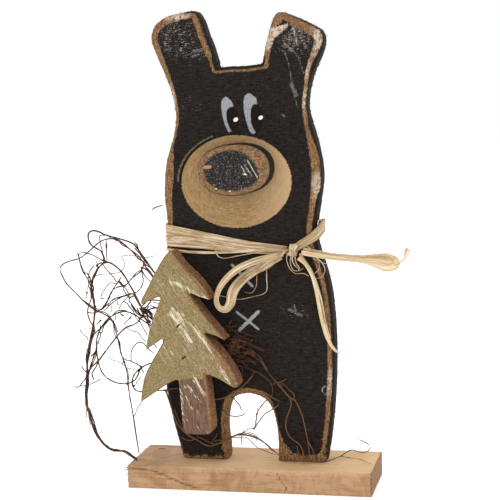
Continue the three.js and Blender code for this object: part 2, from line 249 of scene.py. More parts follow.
STAIN = srgb(158, 120, 81)
STAIN_DARK = srgb(88, 61, 39)
RAW = srgb(215, 201, 188)
BLACK = srgb(13, 11, 10)
GRAIN_UPRIGHT = (1.6, 1.6, 0.16)
GRAIN_ACROSS = (0.16, 1.6, 1.6)


def stained_wood(paint, grain):
    """Brown sanded wood: grain along one axis, golden and dark flecks."""
    flecks = paint.cloud(0.6, 4, 0.8)
    wood = paint.blend(paint.grain(grain, 5, 0.65), 0.36, 0.62, STAIN_DARK, STAIN)
    wood = paint.over(wood, flecks, 0.52, 0.72, srgb(190, 152, 110), 0.5)
    return paint.over(wood, flecks, 0.49, 0.37, srgb(62, 43, 28), 0.8)


def bear_paint():
    paint = Paint("black_paint", roughness=0.85, specular=0.12)
    saw_lines = paint.grain((0.16, 1, 0.85), 4, 0.75)
    upright = paint.grain((0.9, 1, 0.14), 4, 0.75)
    speckle = paint.cloud(1.5, 3, 0.8)
    specks = paint.cloud(0.75, 3, 0.9)
    ragged = paint.centred(paint.cloud(0.9, 4, 0.75))
    hairy = paint.sum(ragged, paint.centred(paint.grain((1.1, 1, 0.22), 4, 0.75)))

    black = paint.blend(saw_lines, 0.38, 0.64, BLACK, srgb(44, 37, 33))
    black = paint.over(black, upright, 0.46, 0.68, srgb(50, 43, 39), 0.5)
    black = paint.over(black, specks, 0.6, 0.72, srgb(92, 82, 75), 0.6)
    worn = paint.value("worn")
    dashes = paint.sum(paint.grain((0.26, 1, 0.95), 4, 0.85), paint.times(specks, 0.4))
    dashes = paint.sum(dashes, paint.times(paint.times(paint.cloud(0.16, 3, 0.7), worn), 0.24))
    black = paint.over(black, dashes, 0.86, 0.95, srgb(150, 141, 133), paint.step(worn, 0.05, 0.4))
    scuff = paint.frayed("scuff", paint.cloud(0.5, 3, 0.7), -1.3)
    rubbed = paint.times(paint.step(speckle, 0.38, 0.6), 0.75)
    black = paint.over(black, scuff, -0.1, -0.75, srgb(134, 130, 130), rubbed)

    swirl = paint.joined(paint.times(paint.value("ring"), 1.3), paint.times(paint.value("turn"), 3.0))
    tan = paint.blend(paint.cloud(1.0, 4, 0.7, swirl), 0.36, 0.66, srgb(140, 109, 71), srgb(174, 143, 102))
    tan = paint.over(tan, paint.cloud(0.5, 4, 0.8), 0.5, 0.66, srgb(192, 161, 119), 0.6)
    tan = paint.over(tan, paint.cloud(0.6, 4, 0.85), 0.46, 0.36, srgb(116, 86, 54), 0.5)
    tan = paint.mix(paint.times(paint.value("lit"), 0.6), tan, srgb(204, 172, 132))
    face = paint.over(black, paint.frayed("muzzle", ragged, 3.2), 0.25, -0.25, tan)
    face = paint.over(face, paint.frayed("halo", ragged, 3), 0.5, -0.3, srgb(140, 122, 100), 0.7)
    face = paint.over(face, paint.frayed("rim", ragged, 2.5), 0.4, -0.2, BLACK, 0.85)

    grey = paint.blend(paint.grain((1.2, 1, 0.4), 3, 0.7), 0.3, 0.7, srgb(126, 128, 131), srgb(172, 174, 178))
    face = paint.over(face, paint.value("pupils"), 0.25, -0.25, srgb(22, 18, 16))
    face = paint.over(face, paint.frayed("eyes", ragged, 0.8), 0.3, -0.3, grey, 0.94)
    face = paint.over(face, paint.value("glints"), 0.25, -0.25, srgb(244, 236, 222))
    chalky = paint.times(paint.step(speckle, 0.2, 0.42), 0.9)
    face = paint.over(face, paint.frayed("stitch", ragged, 1.6), 0.3, -0.3, srgb(166, 165, 165), chalky)

    pale = paint.blend(speckle, 0.35, 0.65, srgb(184, 160, 136), RAW)
    wood = stained_wood(paint, GRAIN_UPRIGHT)
    wood = paint.over(wood, paint.cloud(0.35, 4, 0.75), 0.38, 0.58, pale, paint.value("raw"))
    foot = paint.times(paint.centred(paint.cloud(0.3, 4, 0.85)), paint.times(paint.value("foot"), 16))
    strip = paint.sum(paint.frayed("strip", hairy, 2.8), foot)
    finish = paint.over(face, strip, -0.35, 0.35, wood)
    side_black = paint.blend(paint.cloud(0.9, 4, 0.8), 0.35, 0.7, BLACK, srgb(62, 54, 48))
    finish = paint.over(finish, paint.frayed("side", hairy, 0.9), 0.42, 0.58, side_black)
    paint.colour(paint.over(finish, paint.frayed("bare", ragged, 0.8), 0.42, 0.6, wood))
    paint.give(paint.shader.inputs["Roughness"], paint.sum(paint.times(speckle, 0.3), 0.66))
    coarse = paint.sum(paint.times(saw_lines, 0.6), paint.times(speckle, 0.55))
    paint.relief(paint.sum(coarse, paint.times(upright, 0.4)), 0.35)
    return paint.material


def sawn_fibre():
    paint = Paint("sawn_fibre", roughness=0.9, specular=0.15)
    paint.colour(paint.blend(paint.cloud(0.3, 2, 0.5), 0.4, 0.64, srgb(34, 29, 26), srgb(104, 78, 56)))
    return paint.material


def nose_paint():
    paint = Paint("stained_nose", roughness=0.78, specular=0.25)
    wood = stained_wood(paint, GRAIN_ACROSS)
    wood = paint.over(wood, paint.cloud(0.28, 3, 0.6), 0.5, 0.66, srgb(170, 136, 106), 0.6)
    wood = paint.over(wood, paint.cloud(1.2, 4, 0.85), 0.48, 0.36, srgb(62, 48, 38), 0.8)
    black = paint.blend(paint.grain((1.0, 1, 0.3), 4, 0.85), 0.42, 0.62, srgb(7, 6, 6), srgb(50, 45, 42))
    black = paint.over(black, paint.cloud(0.7, 3, 0.95), 0.57, 0.64, srgb(140, 133, 126), 0.95)
    ragged = paint.centred(paint.cloud(0.8, 4, 0.8))
    face = paint.over(wood, paint.frayed("core", ragged, 8.5), 0.8, -0.8, black)
    face = paint.over(face, paint.frayed("nick_and_slot_shade", ragged, 3.2), 0.2, -0.2, srgb(168, 130, 100))
    face = paint.over(face, paint.frayed("marks", ragged, 0.9), 0.25, -0.15, srgb(222, 214, 204))
    paint.colour(paint.over(face, paint.frayed("side", ragged, 0.7), 0.4, 0.6, srgb(27, 23, 21)))
    paint.relief(paint.cloud(1.3, 4, 0.8), 0.3)
    return paint.material


def tree_paint():
    paint = Paint("tree_paint", roughness=0.8, specular=0.25)
    fine = paint.cloud(0.9, 4, 0.85)
    ragged = paint.centred(paint.cloud(0.8, 4, 0.8))
    brushed = paint.grain((1.0, 1, 0.09), 3, 0.8, turn=32)
    sage = paint.blend(fine, 0.38, 0.64, srgb(112, 94, 58), srgb(166, 148, 106))
    sage = paint.over(sage, paint.cloud(0.09, 3, 0.6), 0.42, 0.62, srgb(140, 118, 72), 0.3)
    flecked = paint.sum(brushed, paint.times(paint.value("flecked"), 0.07))
    sage = paint.over(sage, flecked, 0.62, 0.72, srgb(206, 194, 168), 0.6)
    wood = paint.blend(paint.grain((1.6, 1.6, 0.14), 4, 0.7), 0.34, 0.66,
                       srgb(82, 58, 44), srgb(134, 102, 82))
    wood = paint.over(wood, brushed, 0.6, 0.68, srgb(206, 190, 176), 0.7)
    face = paint.over(sage, paint.frayed("trunk", paint.centred(fine), 1.2), 0.3, -0.3, wood)
    lines = paint.sum(paint.times(paint.centred(brushed), 14), paint.times(ragged, 2.6))
    pale = paint.blend(fine, 0.3, 0.7, srgb(196, 182, 150), srgb(238, 228, 208))
    face = paint.over(face, paint.frayed("scratch", lines, -1), 0.35, -0.35, pale, 0.9)
    # Painted shade, dark brown, in the sunk staple slots.
    face = paint.over(face, paint.frayed("nick_and_slot_shade", ragged, 0.8), 0.25, -0.25, srgb(40, 24, 14))
    cut_wood = paint.blend(paint.grain((0.9, 0.16, 1.4), 4, 0.7), 0.34, 0.66,
                           srgb(94, 62, 40), srgb(158, 116, 82))
    edge_wood = paint.over(cut_wood, paint.cloud(0.5, 4, 0.8), 0.5, 0.7, srgb(204, 170, 132), 0.5)
    face = paint.over(face, paint.frayed("strip", ragged, 2.4), -0.3, 0.3, edge_wood)
    paint.colour(paint.over(face, paint.frayed("side", ragged, 0.5), 0.35, 0.6, cut_wood))
    paint.relief(fine, 0.25)
    return paint.material


def pine():
    paint = Paint("raw_pine", roughness=0.74, specular=0.3)
    lines = paint.grain((0.035, 0.9, 1.1), 5, 0.65, twist=0.25)
    fine = paint.grain((0.12, 1.6, 1.8), 4, 0.75)
    broad = paint.grain((0.012, 0.07, 0.09), 3, 0.6)
    ripple = paint.grain((0.6, 0.5, 0.05), 3, 0.75)
    waves = paint.grain((0.05, 0.05, 0.05), 3, 0.7, twist=1.5)
    dirt = paint.grain((0.1, 0.5, 0.6), 4, 0.8)
    wood = paint.blend(lines, 0.3, 0.68, srgb(150, 112, 76), srgb(182, 146, 108))
    wood = paint.over(wood, fine, 0.48, 0.72, srgb(122, 86, 56), 0.3)
    wood = paint.over(wood, ripple, 0.48, 0.66, srgb(132, 96, 64), 0.35)
    wood = paint.over(wood, waves, 0.46, 0.6, srgb(206, 170, 132), 0.4)
    wood = paint.over(wood, waves, 0.44, 0.36, srgb(140, 104, 70), 0.45)
    wood = paint.over(wood, broad, 0.4, 0.62, srgb(186, 148, 112), 0.35)
    # Painted highlight: the upward faces are painted lighter, as light from above falls on them.
    wood = paint.mix(paint.times(paint.value("top"), 0.7), wood, srgb(228, 190, 144))
    wood = paint.over(wood, dirt, 0.56, 0.72, srgb(104, 70, 44), 0.5)
    end = paint.blend(paint.grain((1, 0.5, 1.2), 4, 0.8), 0.36, 0.66, srgb(104, 70, 44), srgb(172, 134, 96))
    wood = paint.over(wood, paint.value("end"), 0.3, 0.7, end)
    wood = paint.over(wood, paint.frayed("edge", paint.centred(dirt), 4), 1.1, 0.3, srgb(150, 108, 76), 0.55)
    thin = paint.centred(fine)
    wood = paint.over(wood, paint.frayed("marks", thin, 1.2), 0.3, -0.4, srgb(92, 58, 34), 0.85)
    # Painted shade in the cracks on the front.
    wood = paint.over(wood, paint.frayed("crack_shade", thin, 2), 0.5, -0.1, srgb(112, 76, 48), 0.75)
    corner = paint.frayed("corner", paint.centred(paint.cloud(0.7, 3, 0.8)), 9)
    paint.colour(paint.over(wood, corner, 1.0, 0.2, srgb(74, 46, 28), 0.8))
    paint.relief(paint.sum(paint.sum(lines, ripple), paint.times(fine, 0.6)), 0.22)
    return paint.material


def raffia_finish():
    paint = Paint("raffia", roughness=0.62, specular=0.35)
    across = paint.value("across")
    along = paint.value("along")

    def streaks(across_scale, along_scale, start, detail, rough):
        place = paint.joined(paint.times(across, across_scale), paint.times(along, along_scale), start)
        return paint.cloud(1.0, detail, rough, place)

    threads = streaks(2.4, 0.07, 0.0, 4, 0.7)
    straw = paint.blend(threads, 0.4, 0.58, srgb(142, 104, 62), srgb(224, 200, 158))
    # Darker and paler lengthwise streaks: the straw's own uneven tone, with painted shade in its folds and
    # painted highlights on it.
    straw = paint.over(straw, streaks(0.75, 0.02, 3.0, 2, 0.5), 0.5, 0.62, srgb(158, 118, 72), 0.6)
    straw = paint.over(straw, streaks(0.5, 0.03, 7.0, 3, 0.6), 0.5, 0.62, srgb(246, 232, 204), 0.7)
    straw = paint.mix(paint.times(paint.value("shade"), 0.6), straw, srgb(128, 98, 62))
    straw = paint.mix(paint.times(paint.value("pale"), 0.5), straw, srgb(250, 226, 182))
    paint.colour(straw)
    paint.shader.inputs["Sheen Weight"].default_value = 0.12
    paint.relief(threads, 0.45)
    return paint.material


def vine_bark():
    paint = Paint("vine", roughness=0.85, specular=0.2)
    bark = paint.cloud(1.3, 4, 0.75)
    colour = paint.blend(bark, 0.35, 0.66, srgb(34, 22, 17), srgb(88, 62, 46))
    colour = paint.over(colour, paint.cloud(0.12, 3, 0.6), 0.48, 0.6, srgb(112, 76, 52), 0.75)
    colour = paint.over(colour, bark, 0.64, 0.76, srgb(134, 112, 94), 0.5)
    paint.colour(paint.mix(paint.times(paint.value("pale"), 0.6), colour, srgb(128, 92, 62)))
    paint.relief(bark, 0.3)
    return paint.material


def dark_steel():
    paint = Paint("staple_steel", roughness=0.5, specular=0.5, metallic=0.8)
    paint.colour(paint.blend(paint.cloud(1.5, 3, 0.7), 0.35, 0.65, srgb(58, 38, 26), srgb(104, 78, 60)))
    return paint.material


# Distances on a board's face, between points and drawn lines, all as (x, z).

def pairs(line, closed=False):
    line = [np.array(point, float) for point in line]
    return list(zip(line, line[1:] + line[:1] if closed else line[1:]))


def distance(points, segments):
    nearest = np.full(len(points), np.inf)
    for start, end in segments:
        run = end - start
        share = np.clip((points - start) @ run / max(run @ run, TINY), 0, 1)
        nearest = np.minimum(nearest, np.linalg.norm(points - start - share[:, None] * run, axis=1))
    return nearest


def signed(points, loop):
    """Distance to a closed loop, negative inside."""
    sides = pairs(loop, closed=True)
    inside = np.zeros(len(points), bool)
    x, z = points.T
    for (ax, az), (bx, bz) in sides:
        if az != bz:
            crosses = ((az > z) != (bz > z)) & (x < (bx - ax) * (z - az) / (bz - az) + ax)
            inside ^= crosses
    return distance(points, sides) * np.where(inside, -1, 1)


def strokes(points, lines):
    """Distance to the nearest of the brush strokes, each (half width, line), negative on the stroke."""
    return np.min([distance(points, pairs(line)) - half for half, line in lines], axis=0)


def oval(points, centre, halves, tilt=0.0):
    """About the distance to an ellipse, negative inside."""
    turn = math.radians(tilt)
    offset = points - np.array(centre)
    along = offset[:, 0] * math.cos(turn) + offset[:, 1] * math.sin(turn)
    up = offset[:, 1] * math.cos(turn) - offset[:, 0] * math.sin(turn)
    share = np.hypot(along / halves[0], up / halves[1])
    return (share - 1) * min(halves), share, np.arctan2(up / halves[1], along / halves[0])


def curve(stops, per_stop=6):
    """A smooth curve through the stops, as CatmullRomCurve3 draws it, per_stop points to a stretch."""
    stops = np.array(stops, float)
    ends = np.vstack([2 * stops[0] - stops[1], stops, 2 * stops[-1] - stops[-2]])
    rows = []
    for p0, p1, p2, p3 in zip(ends, ends[1:], ends[2:], ends[3:]):
        t1 = max(np.linalg.norm(p1 - p0) ** 0.5, 1e-3)
        t2 = t1 + max(np.linalg.norm(p2 - p1) ** 0.5, 1e-3)
        t3 = t2 + max(np.linalg.norm(p3 - p2) ** 0.5, 1e-3)
        for t in np.linspace(t1, t2, per_stop, endpoint=False):
            a1 = ((t1 - t) * p0 + t * p1) / t1
            a2 = ((t2 - t) * p1 + (t - t1) * p2) / (t2 - t1)
            a3 = ((t3 - t) * p2 + (t - t2) * p3) / (t3 - t2)
            b1 = ((t2 - t) * a1 + t * a2) / t2
            b2 = ((t3 - t) * a2 + (t - t1) * a3) / (t3 - t1)
            rows.append(((t2 - t) * b1 + (t - t1) * b2) / (t2 - t1))
    rows.append(stops[-1])
    return np.array(rows)


# Meshes.

def rise(values, start, run):
    """0 up to start, then evenly to 1 over the run, which is negative where it rises as values fall."""
    return np.clip((values - start) / run, 0, 1)


def within(points, box):
    """Whether each point lies in a box, given by its least and greatest x, then its least and greatest z."""
    x, z = points.T
    return (x > box[0]) & (x < box[1]) & (z > box[2]) & (z <= box[3])


def run_along(route):
    """How far along a route each of its points is."""
    return np.concatenate([[0], np.cumsum(np.linalg.norm(np.diff(route, axis=0), axis=1))])


def headings(route):
    tangents = np.gradient(route, axis=0)
    return tangents / (np.linalg.norm(tangents, axis=1)[:, None] + TINY)


def vectors(mesh, name):
    flat = np.empty(3 * len(mesh.vertices), np.float32)
    mesh.vertices.foreach_get(name, flat)
    return flat.reshape(-1, 3).astype(float)


def places(mesh):
    return vectors(mesh, "co") / MM


def normals(mesh):
    return vectors(mesh, "normal")


def put_places(mesh, points):
    mesh.vertices.foreach_set("co", (points * MM).astype(np.float32).ravel())
    mesh.update()


def store(mesh, name, values):
    made = mesh.attributes.new(name, "FLOAT", "POINT")
    made.data.foreach_set("value", np.asarray(values, np.float32))


def wobble(points, scale, seed=0.0):
    """Smooth noise between about -1 and 1 at each point, with features of about scale millimetres."""
    shift = Vector((seed, seed * 0.37, -seed * 0.61))
    return np.array([noise.noise(Vector(p / scale) + shift) for p in points])


def finished(name, mesh, material, replaced=()):
    piece = bpy.data.objects.new(name, mesh)
    bpy.context.scene.collection.objects.link(piece)
    mesh.materials.clear()
    mesh.materials.append(material)
    mesh.polygons.foreach_set("use_smooth", [True] * len(mesh.polygons))
    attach(piece, "root")
    if replaced:
        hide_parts(*replaced)
    return piece


def modified(node, kind, **settings):
    """A copy of one solid's mesh, its shared points joined, with one modifier applied."""
    mesh = NODES[node].data.copy()
    shape = bmesh.new()
    shape.from_mesh(mesh)
    bmesh.ops.remove_doubles(shape, verts=shape.verts, dist=1e-6)
    shape.to_mesh(mesh)
    shape.free()
    for name in [attribute.name for attribute in mesh.attributes if attribute.name == "custom_normal"]:
        mesh.attributes.remove(mesh.attributes[name])
    holder = bpy.data.objects.new("holder", mesh)
    bpy.context.scene.collection.objects.link(holder)
    modifier = holder.modifiers.new("change", kind)
    for name, value in settings.items():
        setattr(modifier, name, value)
    ready = holder.evaluated_get(bpy.context.evaluated_depsgraph_get())
    result = bpy.data.meshes.new_from_object(ready)
    bpy.data.objects.remove(holder)
    return result


def level_edges(node, level):
    """The edges of a board's solid that run round its outline at one depth, as (x, z) pairs."""
    mesh = NODES[node].data
    points = places(mesh)
    at_level = np.abs(points[:, 1] - level) < 0.05
    found = {}
    for edge in mesh.edges:
        a, b = edge.vertices
        if at_level[a] and at_level[b]:
            start, end = points[a][[0, 2]], points[b][[0, 2]]
            if np.linalg.norm(end - start) > 0.01:
                key = tuple(sorted((tuple(np.round(start, 2)), tuple(np.round(end, 2)))))
                found[key] = (start, end)
    return list(found.values())


# A way that no route runs along, to turn the first ring of a tube by.
ASLANT = (0.3, 0.9, 0.2)


class Gathered:
    """Tubes and strips gathered into one mesh, with each point's place along and across its strip."""

    def __init__(self):
        self.points = []
        self.faces = []
        self.along = []
        self.across = []

    def _rings(self, rings, runs, across):
        first = len(self.points)
        count = len(rings[0])
        for ring, run in zip(rings, runs):
            self.points.extend(ring)
            self.along.extend([run] * count)
            self.across.extend(across)
        last = first + (len(rings) - 1) * count
        for low in range(first, last, count):
            for k in range(count):
                after = (k + 1) % count
                self.faces.append((low + k, low + after, low + count + after, low + count + k))
        self.faces.append(tuple(first + k for k in range(count))[::-1])
        self.faces.append(tuple(last + k for k in range(count)))

    def tube(self, route, radii, sides=6, shift=0.0):
        route = np.array(route, float)
        radii = np.broadcast_to(radii, len(route))
        tangents = headings(route)
        side = np.cross(tangents[0], ASLANT)
        angles = 2 * np.pi * np.arange(sides) / sides
        rings = []
        for middle, tangent, radius in zip(route, tangents, radii):
            side = side - tangent * (side @ tangent)
            side /= np.linalg.norm(side) + TINY
            other = np.cross(tangent, side)
            rings.append(middle + radius * (np.outer(np.cos(angles), side) + np.outer(np.sin(angles), other)))
        self._rings(rings, run_along(route) + shift, shift + 2 * radii.mean() * np.arange(sides) / sides)

    def strip(self, route, widths, outs, thickness=0.5, fold=0.35, folds=2.5, seed=0.0, steps=9):
        """A flat fibre strip. outs are the ways its outer face looks, and folds its lengthwise pleats."""
        route = np.array(route, float)
        widths = np.broadcast_to(widths, len(route))
        runs = run_along(route)
        shares = np.linspace(-0.5, 0.5, steps)
        inward = 2 * np.abs(shares)
        edge = thickness * (1 - 0.6 * inward ** 6)
        rings = []
        for middle, width, tangent, out, run in zip(route, widths, headings(route), outs, runs):
            up = np.cross(tangent, out)
            up /= np.linalg.norm(up) + TINY
            face = np.cross(up, tangent)
            drift = 0.25 * math.sin(run / 17 + seed)
            pleat = fold * np.cos(2 * np.pi * folds * (shares + drift) + seed) * (1 - inward ** 4)
            flat = middle + np.outer(shares * width, up)
            rings.append(np.vstack([flat + np.outer(pleat + edge / 2, face),
                                    (flat + np.outer(pleat - edge / 2, face))[::-1]]))
        across = np.concatenate([shares, shares[::-1]]) * widths.max() + 7 * seed
        self._rings(rings, runs + 31 * seed, across)

    def mesh(self, name):
        made = bpy.data.meshes.new(name)
        made.from_pydata([Vector(p) * MM for p in self.points], [], self.faces)
        shape = bmesh.new()
        shape.from_mesh(made)
        bmesh.ops.recalc_face_normals(shape, faces=shape.faces)
        shape.to_mesh(made)
        shape.free()
        store(made, "along", self.along)
        store(made, "across", self.across)
        return made


# Bear board.

BEAR_VOXEL = 1.3
LEFT_STRIP = ([19, 26, 45, 70, 84, 160, 200, 215, 243, 250, 262, 274, 282, 300, 320, 345, 365, 380],
              [1.6, 0.9, 0.9, 1, 1.4, 3.2, 3.6, 5.4, 7.4, 7.8, 6, 2.2, 2.6, 3, 3.6, 5, 6.2, 5.4])
RIGHT_STRIP = ([19, 26, 36, 60, 90, 120, 150, 180, 205, 222, 243, 262, 280, 300, 315, 340, 355, 372],
               [6.5, 5.5, 5.2, 5.2, 5.4, 5.6, 5.8, 6, 6.6, 6.6, 7.6, 7.2, 5.4, 3.2, 3, 6.6, 7.2, 6.4])
RIGHT_INSET = ([19, 60, 90, 120, 205, 230, 238, 255, 267, 277, 286, 295, 314, 324, 333, 342, 352, 372],
               [2, 2, 2, 2.4, 2.6, 2.4, 0.6, 1, 0.8, 2, 2.2, 0.9, 0.8, 1.8, 3, 2.2, 0.8, 0.4])
RIGHT_FLANK = 40
NO_INSET = -5
# Parts with a strip of their own: the box, where the brown begins and how far in it ends.
OWN_STRIPS = [((-48, 40, 336, 400), NO_INSET, 4.9), ((-32, 20, 318, 342), 2.3, 4),
              ((-44, 0, 342, 400), 1.5, 5.4)]
ARCH = (-37, 35, 0, 92)
ARCH_LEFT_STRIP = ([19, 30, 50, 66, 76], [4.6, 3.8, 3.4, 4.2, 4.8])
ARCH_RIGHT_STRIP = ([19, 27, 31, 35, 42, 46, 58, 64, 76], [13, 11, 8, 4.4, 2.2, 1.2, 1.2, 2.6, 4.8])
# The bare wood under the arch, and how much a side must turn from the front there, right and left.
UNDER_ARCH = (-25.5, 23.5, 0, 76)
ARCH_CROWN = 6
ARCH_TURNED = (0.3, 0.7)
# How high the brown goes at the soles, right and left.
SOLE_BARE = (6.5, 2.6)
# Pale unstained wood on the right ear, and the ear's brown corner over it.
RAW_WEDGE = [(21, 361), (26.6, 362.4), (32.6, 363.9), (38.6, 365.6), (38.9, 363.4), (33.2, 359), (27, 353.5),
             (25.8, 348.8), (21, 346)]
EAR_CORNER = [(19, 374), (36, 374), (33, 365.6), (26, 362.6), (20, 360)]
WEDGE_PALE = 1.2
MUZZLE = {"centre": (-6.6, 244.4), "halves": (44.6, 36.6), "tilt": 1.5}
MUZZLE_RINGS = 36
# Lines at the muzzle's edge: from which turn to which, how far out, and half their width.
MUZZLE_LINES = {"halo": (1.9, 3.1, 2.4, 0.35), "rim": (1.2, 3.1, 0.6, 0.45)}
# Where a value begins to rise, and over how much: see rise.
MUZZLE_LIT = (2, 30)
FOOT_FRAYED = (44, -18)
BEAR_SAWN = (0.62, -0.3)
# How rough a board is on its faces and on its sawn sides, and the seed of the noise.
BEAR_ROUGH = (0.06, 0.3, 1.0)
# The torn inner side of the left ear, and how far the sides are brought out, there and elsewhere.
TORN_EAR = (-40, -16, 337, 372)
SWELL = (0.95, 0.25)
LEFT_EYE = [(-12.8, 311.4), (-16, 308.3), (-16.5, 304.1), (-15.8, 296.9), (-14.2, 289.7), (-11.3, 283.3),
            (-8.2, 284.1), (-10, 285.9), (-12.3, 292), (-12.7, 298), (-11.9, 301), (-9.4, 302.9),
            (-6.3, 303.2), (-8, 307.4), (-10.4, 309.9)]
RIGHT_EYE = [(6.4, 313.5), (2.6, 311.3), (1.6, 307.1), (1.6, 300), (3.2, 291.6), (5.4, 284.4), (7.8, 281.3),
             (10.9, 282.4), (9.1, 284.9), (7.4, 289.1), (6.8, 295.1), (7.2, 301), (9.2, 304.5), (12.6, 304.4),
             (11.8, 309.2), (8.8, 311.7)]
PUPILS = [((-7.6, 293.4), (5.4, 9.2), 0), ((11.8, 293.6), (5.2, 10.2), 0)]
GLINTS = [((-5.1, 293), (2.1, 1.6), 25), ((14.9, 294), (2, 1.5), 28)]
STITCHES = [(1.35, [(-7.8, 126), (8.1, 140.8)]), (0.9, [(-9.8, 140.6), (7.6, 126.8)]),
            (1.1, [(-12.1, 178.2), (3.8, 161.3)]), (1.1, [(-10.5, 163), (3, 176.5)]),
            (0.45, [(42.7, 363), (45.4, 348.7)]), (0.3, [(40.2, 360.1), (43, 361)]),
            (0.45, [(60.4, 81.6), (58.2, 80.2), (57.5, 77.9), (58.8, 75.9), (60.3, 74.6)])]
SCUFFS = [(0.7, [(42.4, 363.4), (45.9, 349)]),
          (0.3, [(34.9, 345.6), (38.5, 334), (40.2, 322.4), (40.9, 314.7), (44.5, 301.1)]),
          (1.3, [(40, 318.6), (43.8, 310.8)]), (0.4, [(39.9, 347.3), (45.6, 340.4), (50.1, 326.9)]),
          (0.5, [(31.9, 296.2), (33.9, 294.2)]), (0.8, [(-37.7, 347.4), (-30.6, 348.1)]),
          (0.4, [(-61.7, 348.3), (-54.5, 350.5)]), (0.6, [(-38.4, 343.1), (-33.2, 344.3)]),
          (0.9, [(33, 142.7), (38, 140), (43, 138)]), (0.6, [(37.4, 146.4), (38.5, 139)])]
# Where the wood is pale and unstained: middle and half size of each patch.
RAW_PATCHES = [((23, 355), (4, 7)), ((61, 351), (5, 13)), ((52, 331), (4, 9)),
               ((59, 238), (5, 11)), ((64, 84), (4, 10)), ((-50, 375), (9, 4)), ((-57, 312), (3, 9)),
               ((50, 306), (3, 8))]
WORN_PATCHES = [((-50, 358), (20, 18), 1.0), ((44, 354), (17, 13), 1.2), ((-38, 345), (14, 9), 0.8),
                ((38, 140), (14, 9), 0.55), ((-42, 305), (14, 9), 0.4), ((42, 320), (8, 20), 0.35),
                ((30, 110), (30, 40), 0.25), ((0, 330), (60, 30), 0.2)]


def strip_reach(points):
    """Where the brown of the sanded edge begins and ends, in from the outline, at each point."""
    x, z = points.T
    width = np.where(x < 0, np.interp(z, *LEFT_STRIP), np.interp(z, *RIGHT_STRIP))
    inset = np.where(x > RIGHT_FLANK, np.interp(z, *RIGHT_INSET), NO_INSET)
    for box, begins, ends in OWN_STRIPS:
        inside = within(points, box)
        inset = np.where(inside, begins, inset)
        width = np.where(inside, ends, width)
    arch_width = np.where(x > 0, np.interp(z, *ARCH_RIGHT_STRIP), np.interp(z, *ARCH_LEFT_STRIP))
    return inset, np.where(within(points, ARCH), arch_width, width)


def patches(points, table):
    """The strongest of the soft patches at each point."""
    values = [oval(points, centre, halves)[1] for centre, halves, *_ in table]
    shares = [np.clip(1.6 - 1.1 * value, 0, 1) * (row[2] if len(row) > 2 else 1)
              for value, row in zip(values, table)]
    return np.max(shares, axis=0)


def refined(node, voxel):
    """A solid as an even fine mesh, its points, how squarely each faces front or back, and its (x, z)."""
    mesh = modified(node, "REMESH", mode="VOXEL", voxel_size=voxel * MM)
    points = places(mesh)
    return mesh, points, np.abs(normals(mesh)[:, 1]), points[:, [0, 2]]


def roughened(mesh, points, facing, amount, on_side, seed):
    """Pushes each point along its normal by fine noise: little on the faces, more on sawn sides."""
    fine = wobble(points, 1.9, seed)
    broad = wobble(points, 9.0, seed + 5)
    push = fine * (amount + on_side * (1 - facing)) + 0.12 * broad
    moved = points + normals(mesh) * push[:, None]
    put_places(mesh, moved)
    return moved


def bear(material):
    mesh, points, facing, flat = refined("bear_board", BEAR_VOXEL)
    x, z = flat.T
    front = points[:, 1] < 0
    far = np.where(front, 0.0, BEHIND)
    edge = distance(flat, level_edges("bear_board", BEAR_FRONT + CHAMFER_DEPTH))
    inset, reach = strip_reach(flat)
    sole = PLINTH_TOP + np.where(x > 0, *SOLE_BARE) - z
    wedge, corner = (np.where(front, -signed(flat, loop), -FAR_OFF) for loop in (RAW_WEDGE, EAR_CORNER))
    store(mesh, "strip", np.max([np.minimum(reach - edge, edge - inset), sole, wedge, corner], axis=0))
    store(mesh, "side", rise(facing, *BEAR_SAWN))
    store(mesh, "foot", rise(z, *FOOT_FRAYED))
    turned = np.where(x > ARCH_CROWN, *ARCH_TURNED)
    store(mesh, "bare", np.where(within(flat, UNDER_ARCH) & (facing < turned), 1.0, 0.0))
    shape, share, turn = oval(flat, **MUZZLE)
    store(mesh, "muzzle", shape + far)
    store(mesh, "ring", share * MUZZLE_RINGS)
    store(mesh, "turn", turn)
    store(mesh, "lit", rise(x, *MUZZLE_LIT))
    for name, (start, end, out, half) in MUZZLE_LINES.items():
        line = np.where((turn > start) & (turn < end), np.abs(shape - out) - half, FAR_OFF)
        store(mesh, name, line + far)
    store(mesh, "eyes", np.minimum(signed(flat, LEFT_EYE), signed(flat, RIGHT_EYE)) + far)
    for name, ovals in (("pupils", PUPILS), ("glints", GLINTS)):
        store(mesh, name, np.min([oval(flat, *row)[0] for row in ovals], axis=0) + far)
    for name, lines in (("stitch", STITCHES), ("scuff", SCUFFS)):
        store(mesh, name, strokes(flat, lines) + far)
    store(mesh, "raw", np.maximum(patches(flat, RAW_PATCHES) * front, np.clip(1 + wedge, 0, WEDGE_PALE)))
    store(mesh, "worn", patches(flat, WORN_PATCHES) * front)
    moved = roughened(mesh, points, facing, *BEAR_ROUGH)
    swell = np.where(within(flat, TORN_EAR), *SWELL) * rise(facing, 1, -1)
    put_places(mesh, moved + normals(mesh) * swell[:, None])
    return finished("bear_panel", mesh, material, ["bear_board"])


FUZZ = {"hairs": 2200, "shortest": 0.5, "longest": 1.8, "radius": 0.16, "seed": 11, "side": 0.6, "above": 30,
        "sunk": 0.2, "few_long": 2.5, "taper": (1, 0.8, 0.25)}


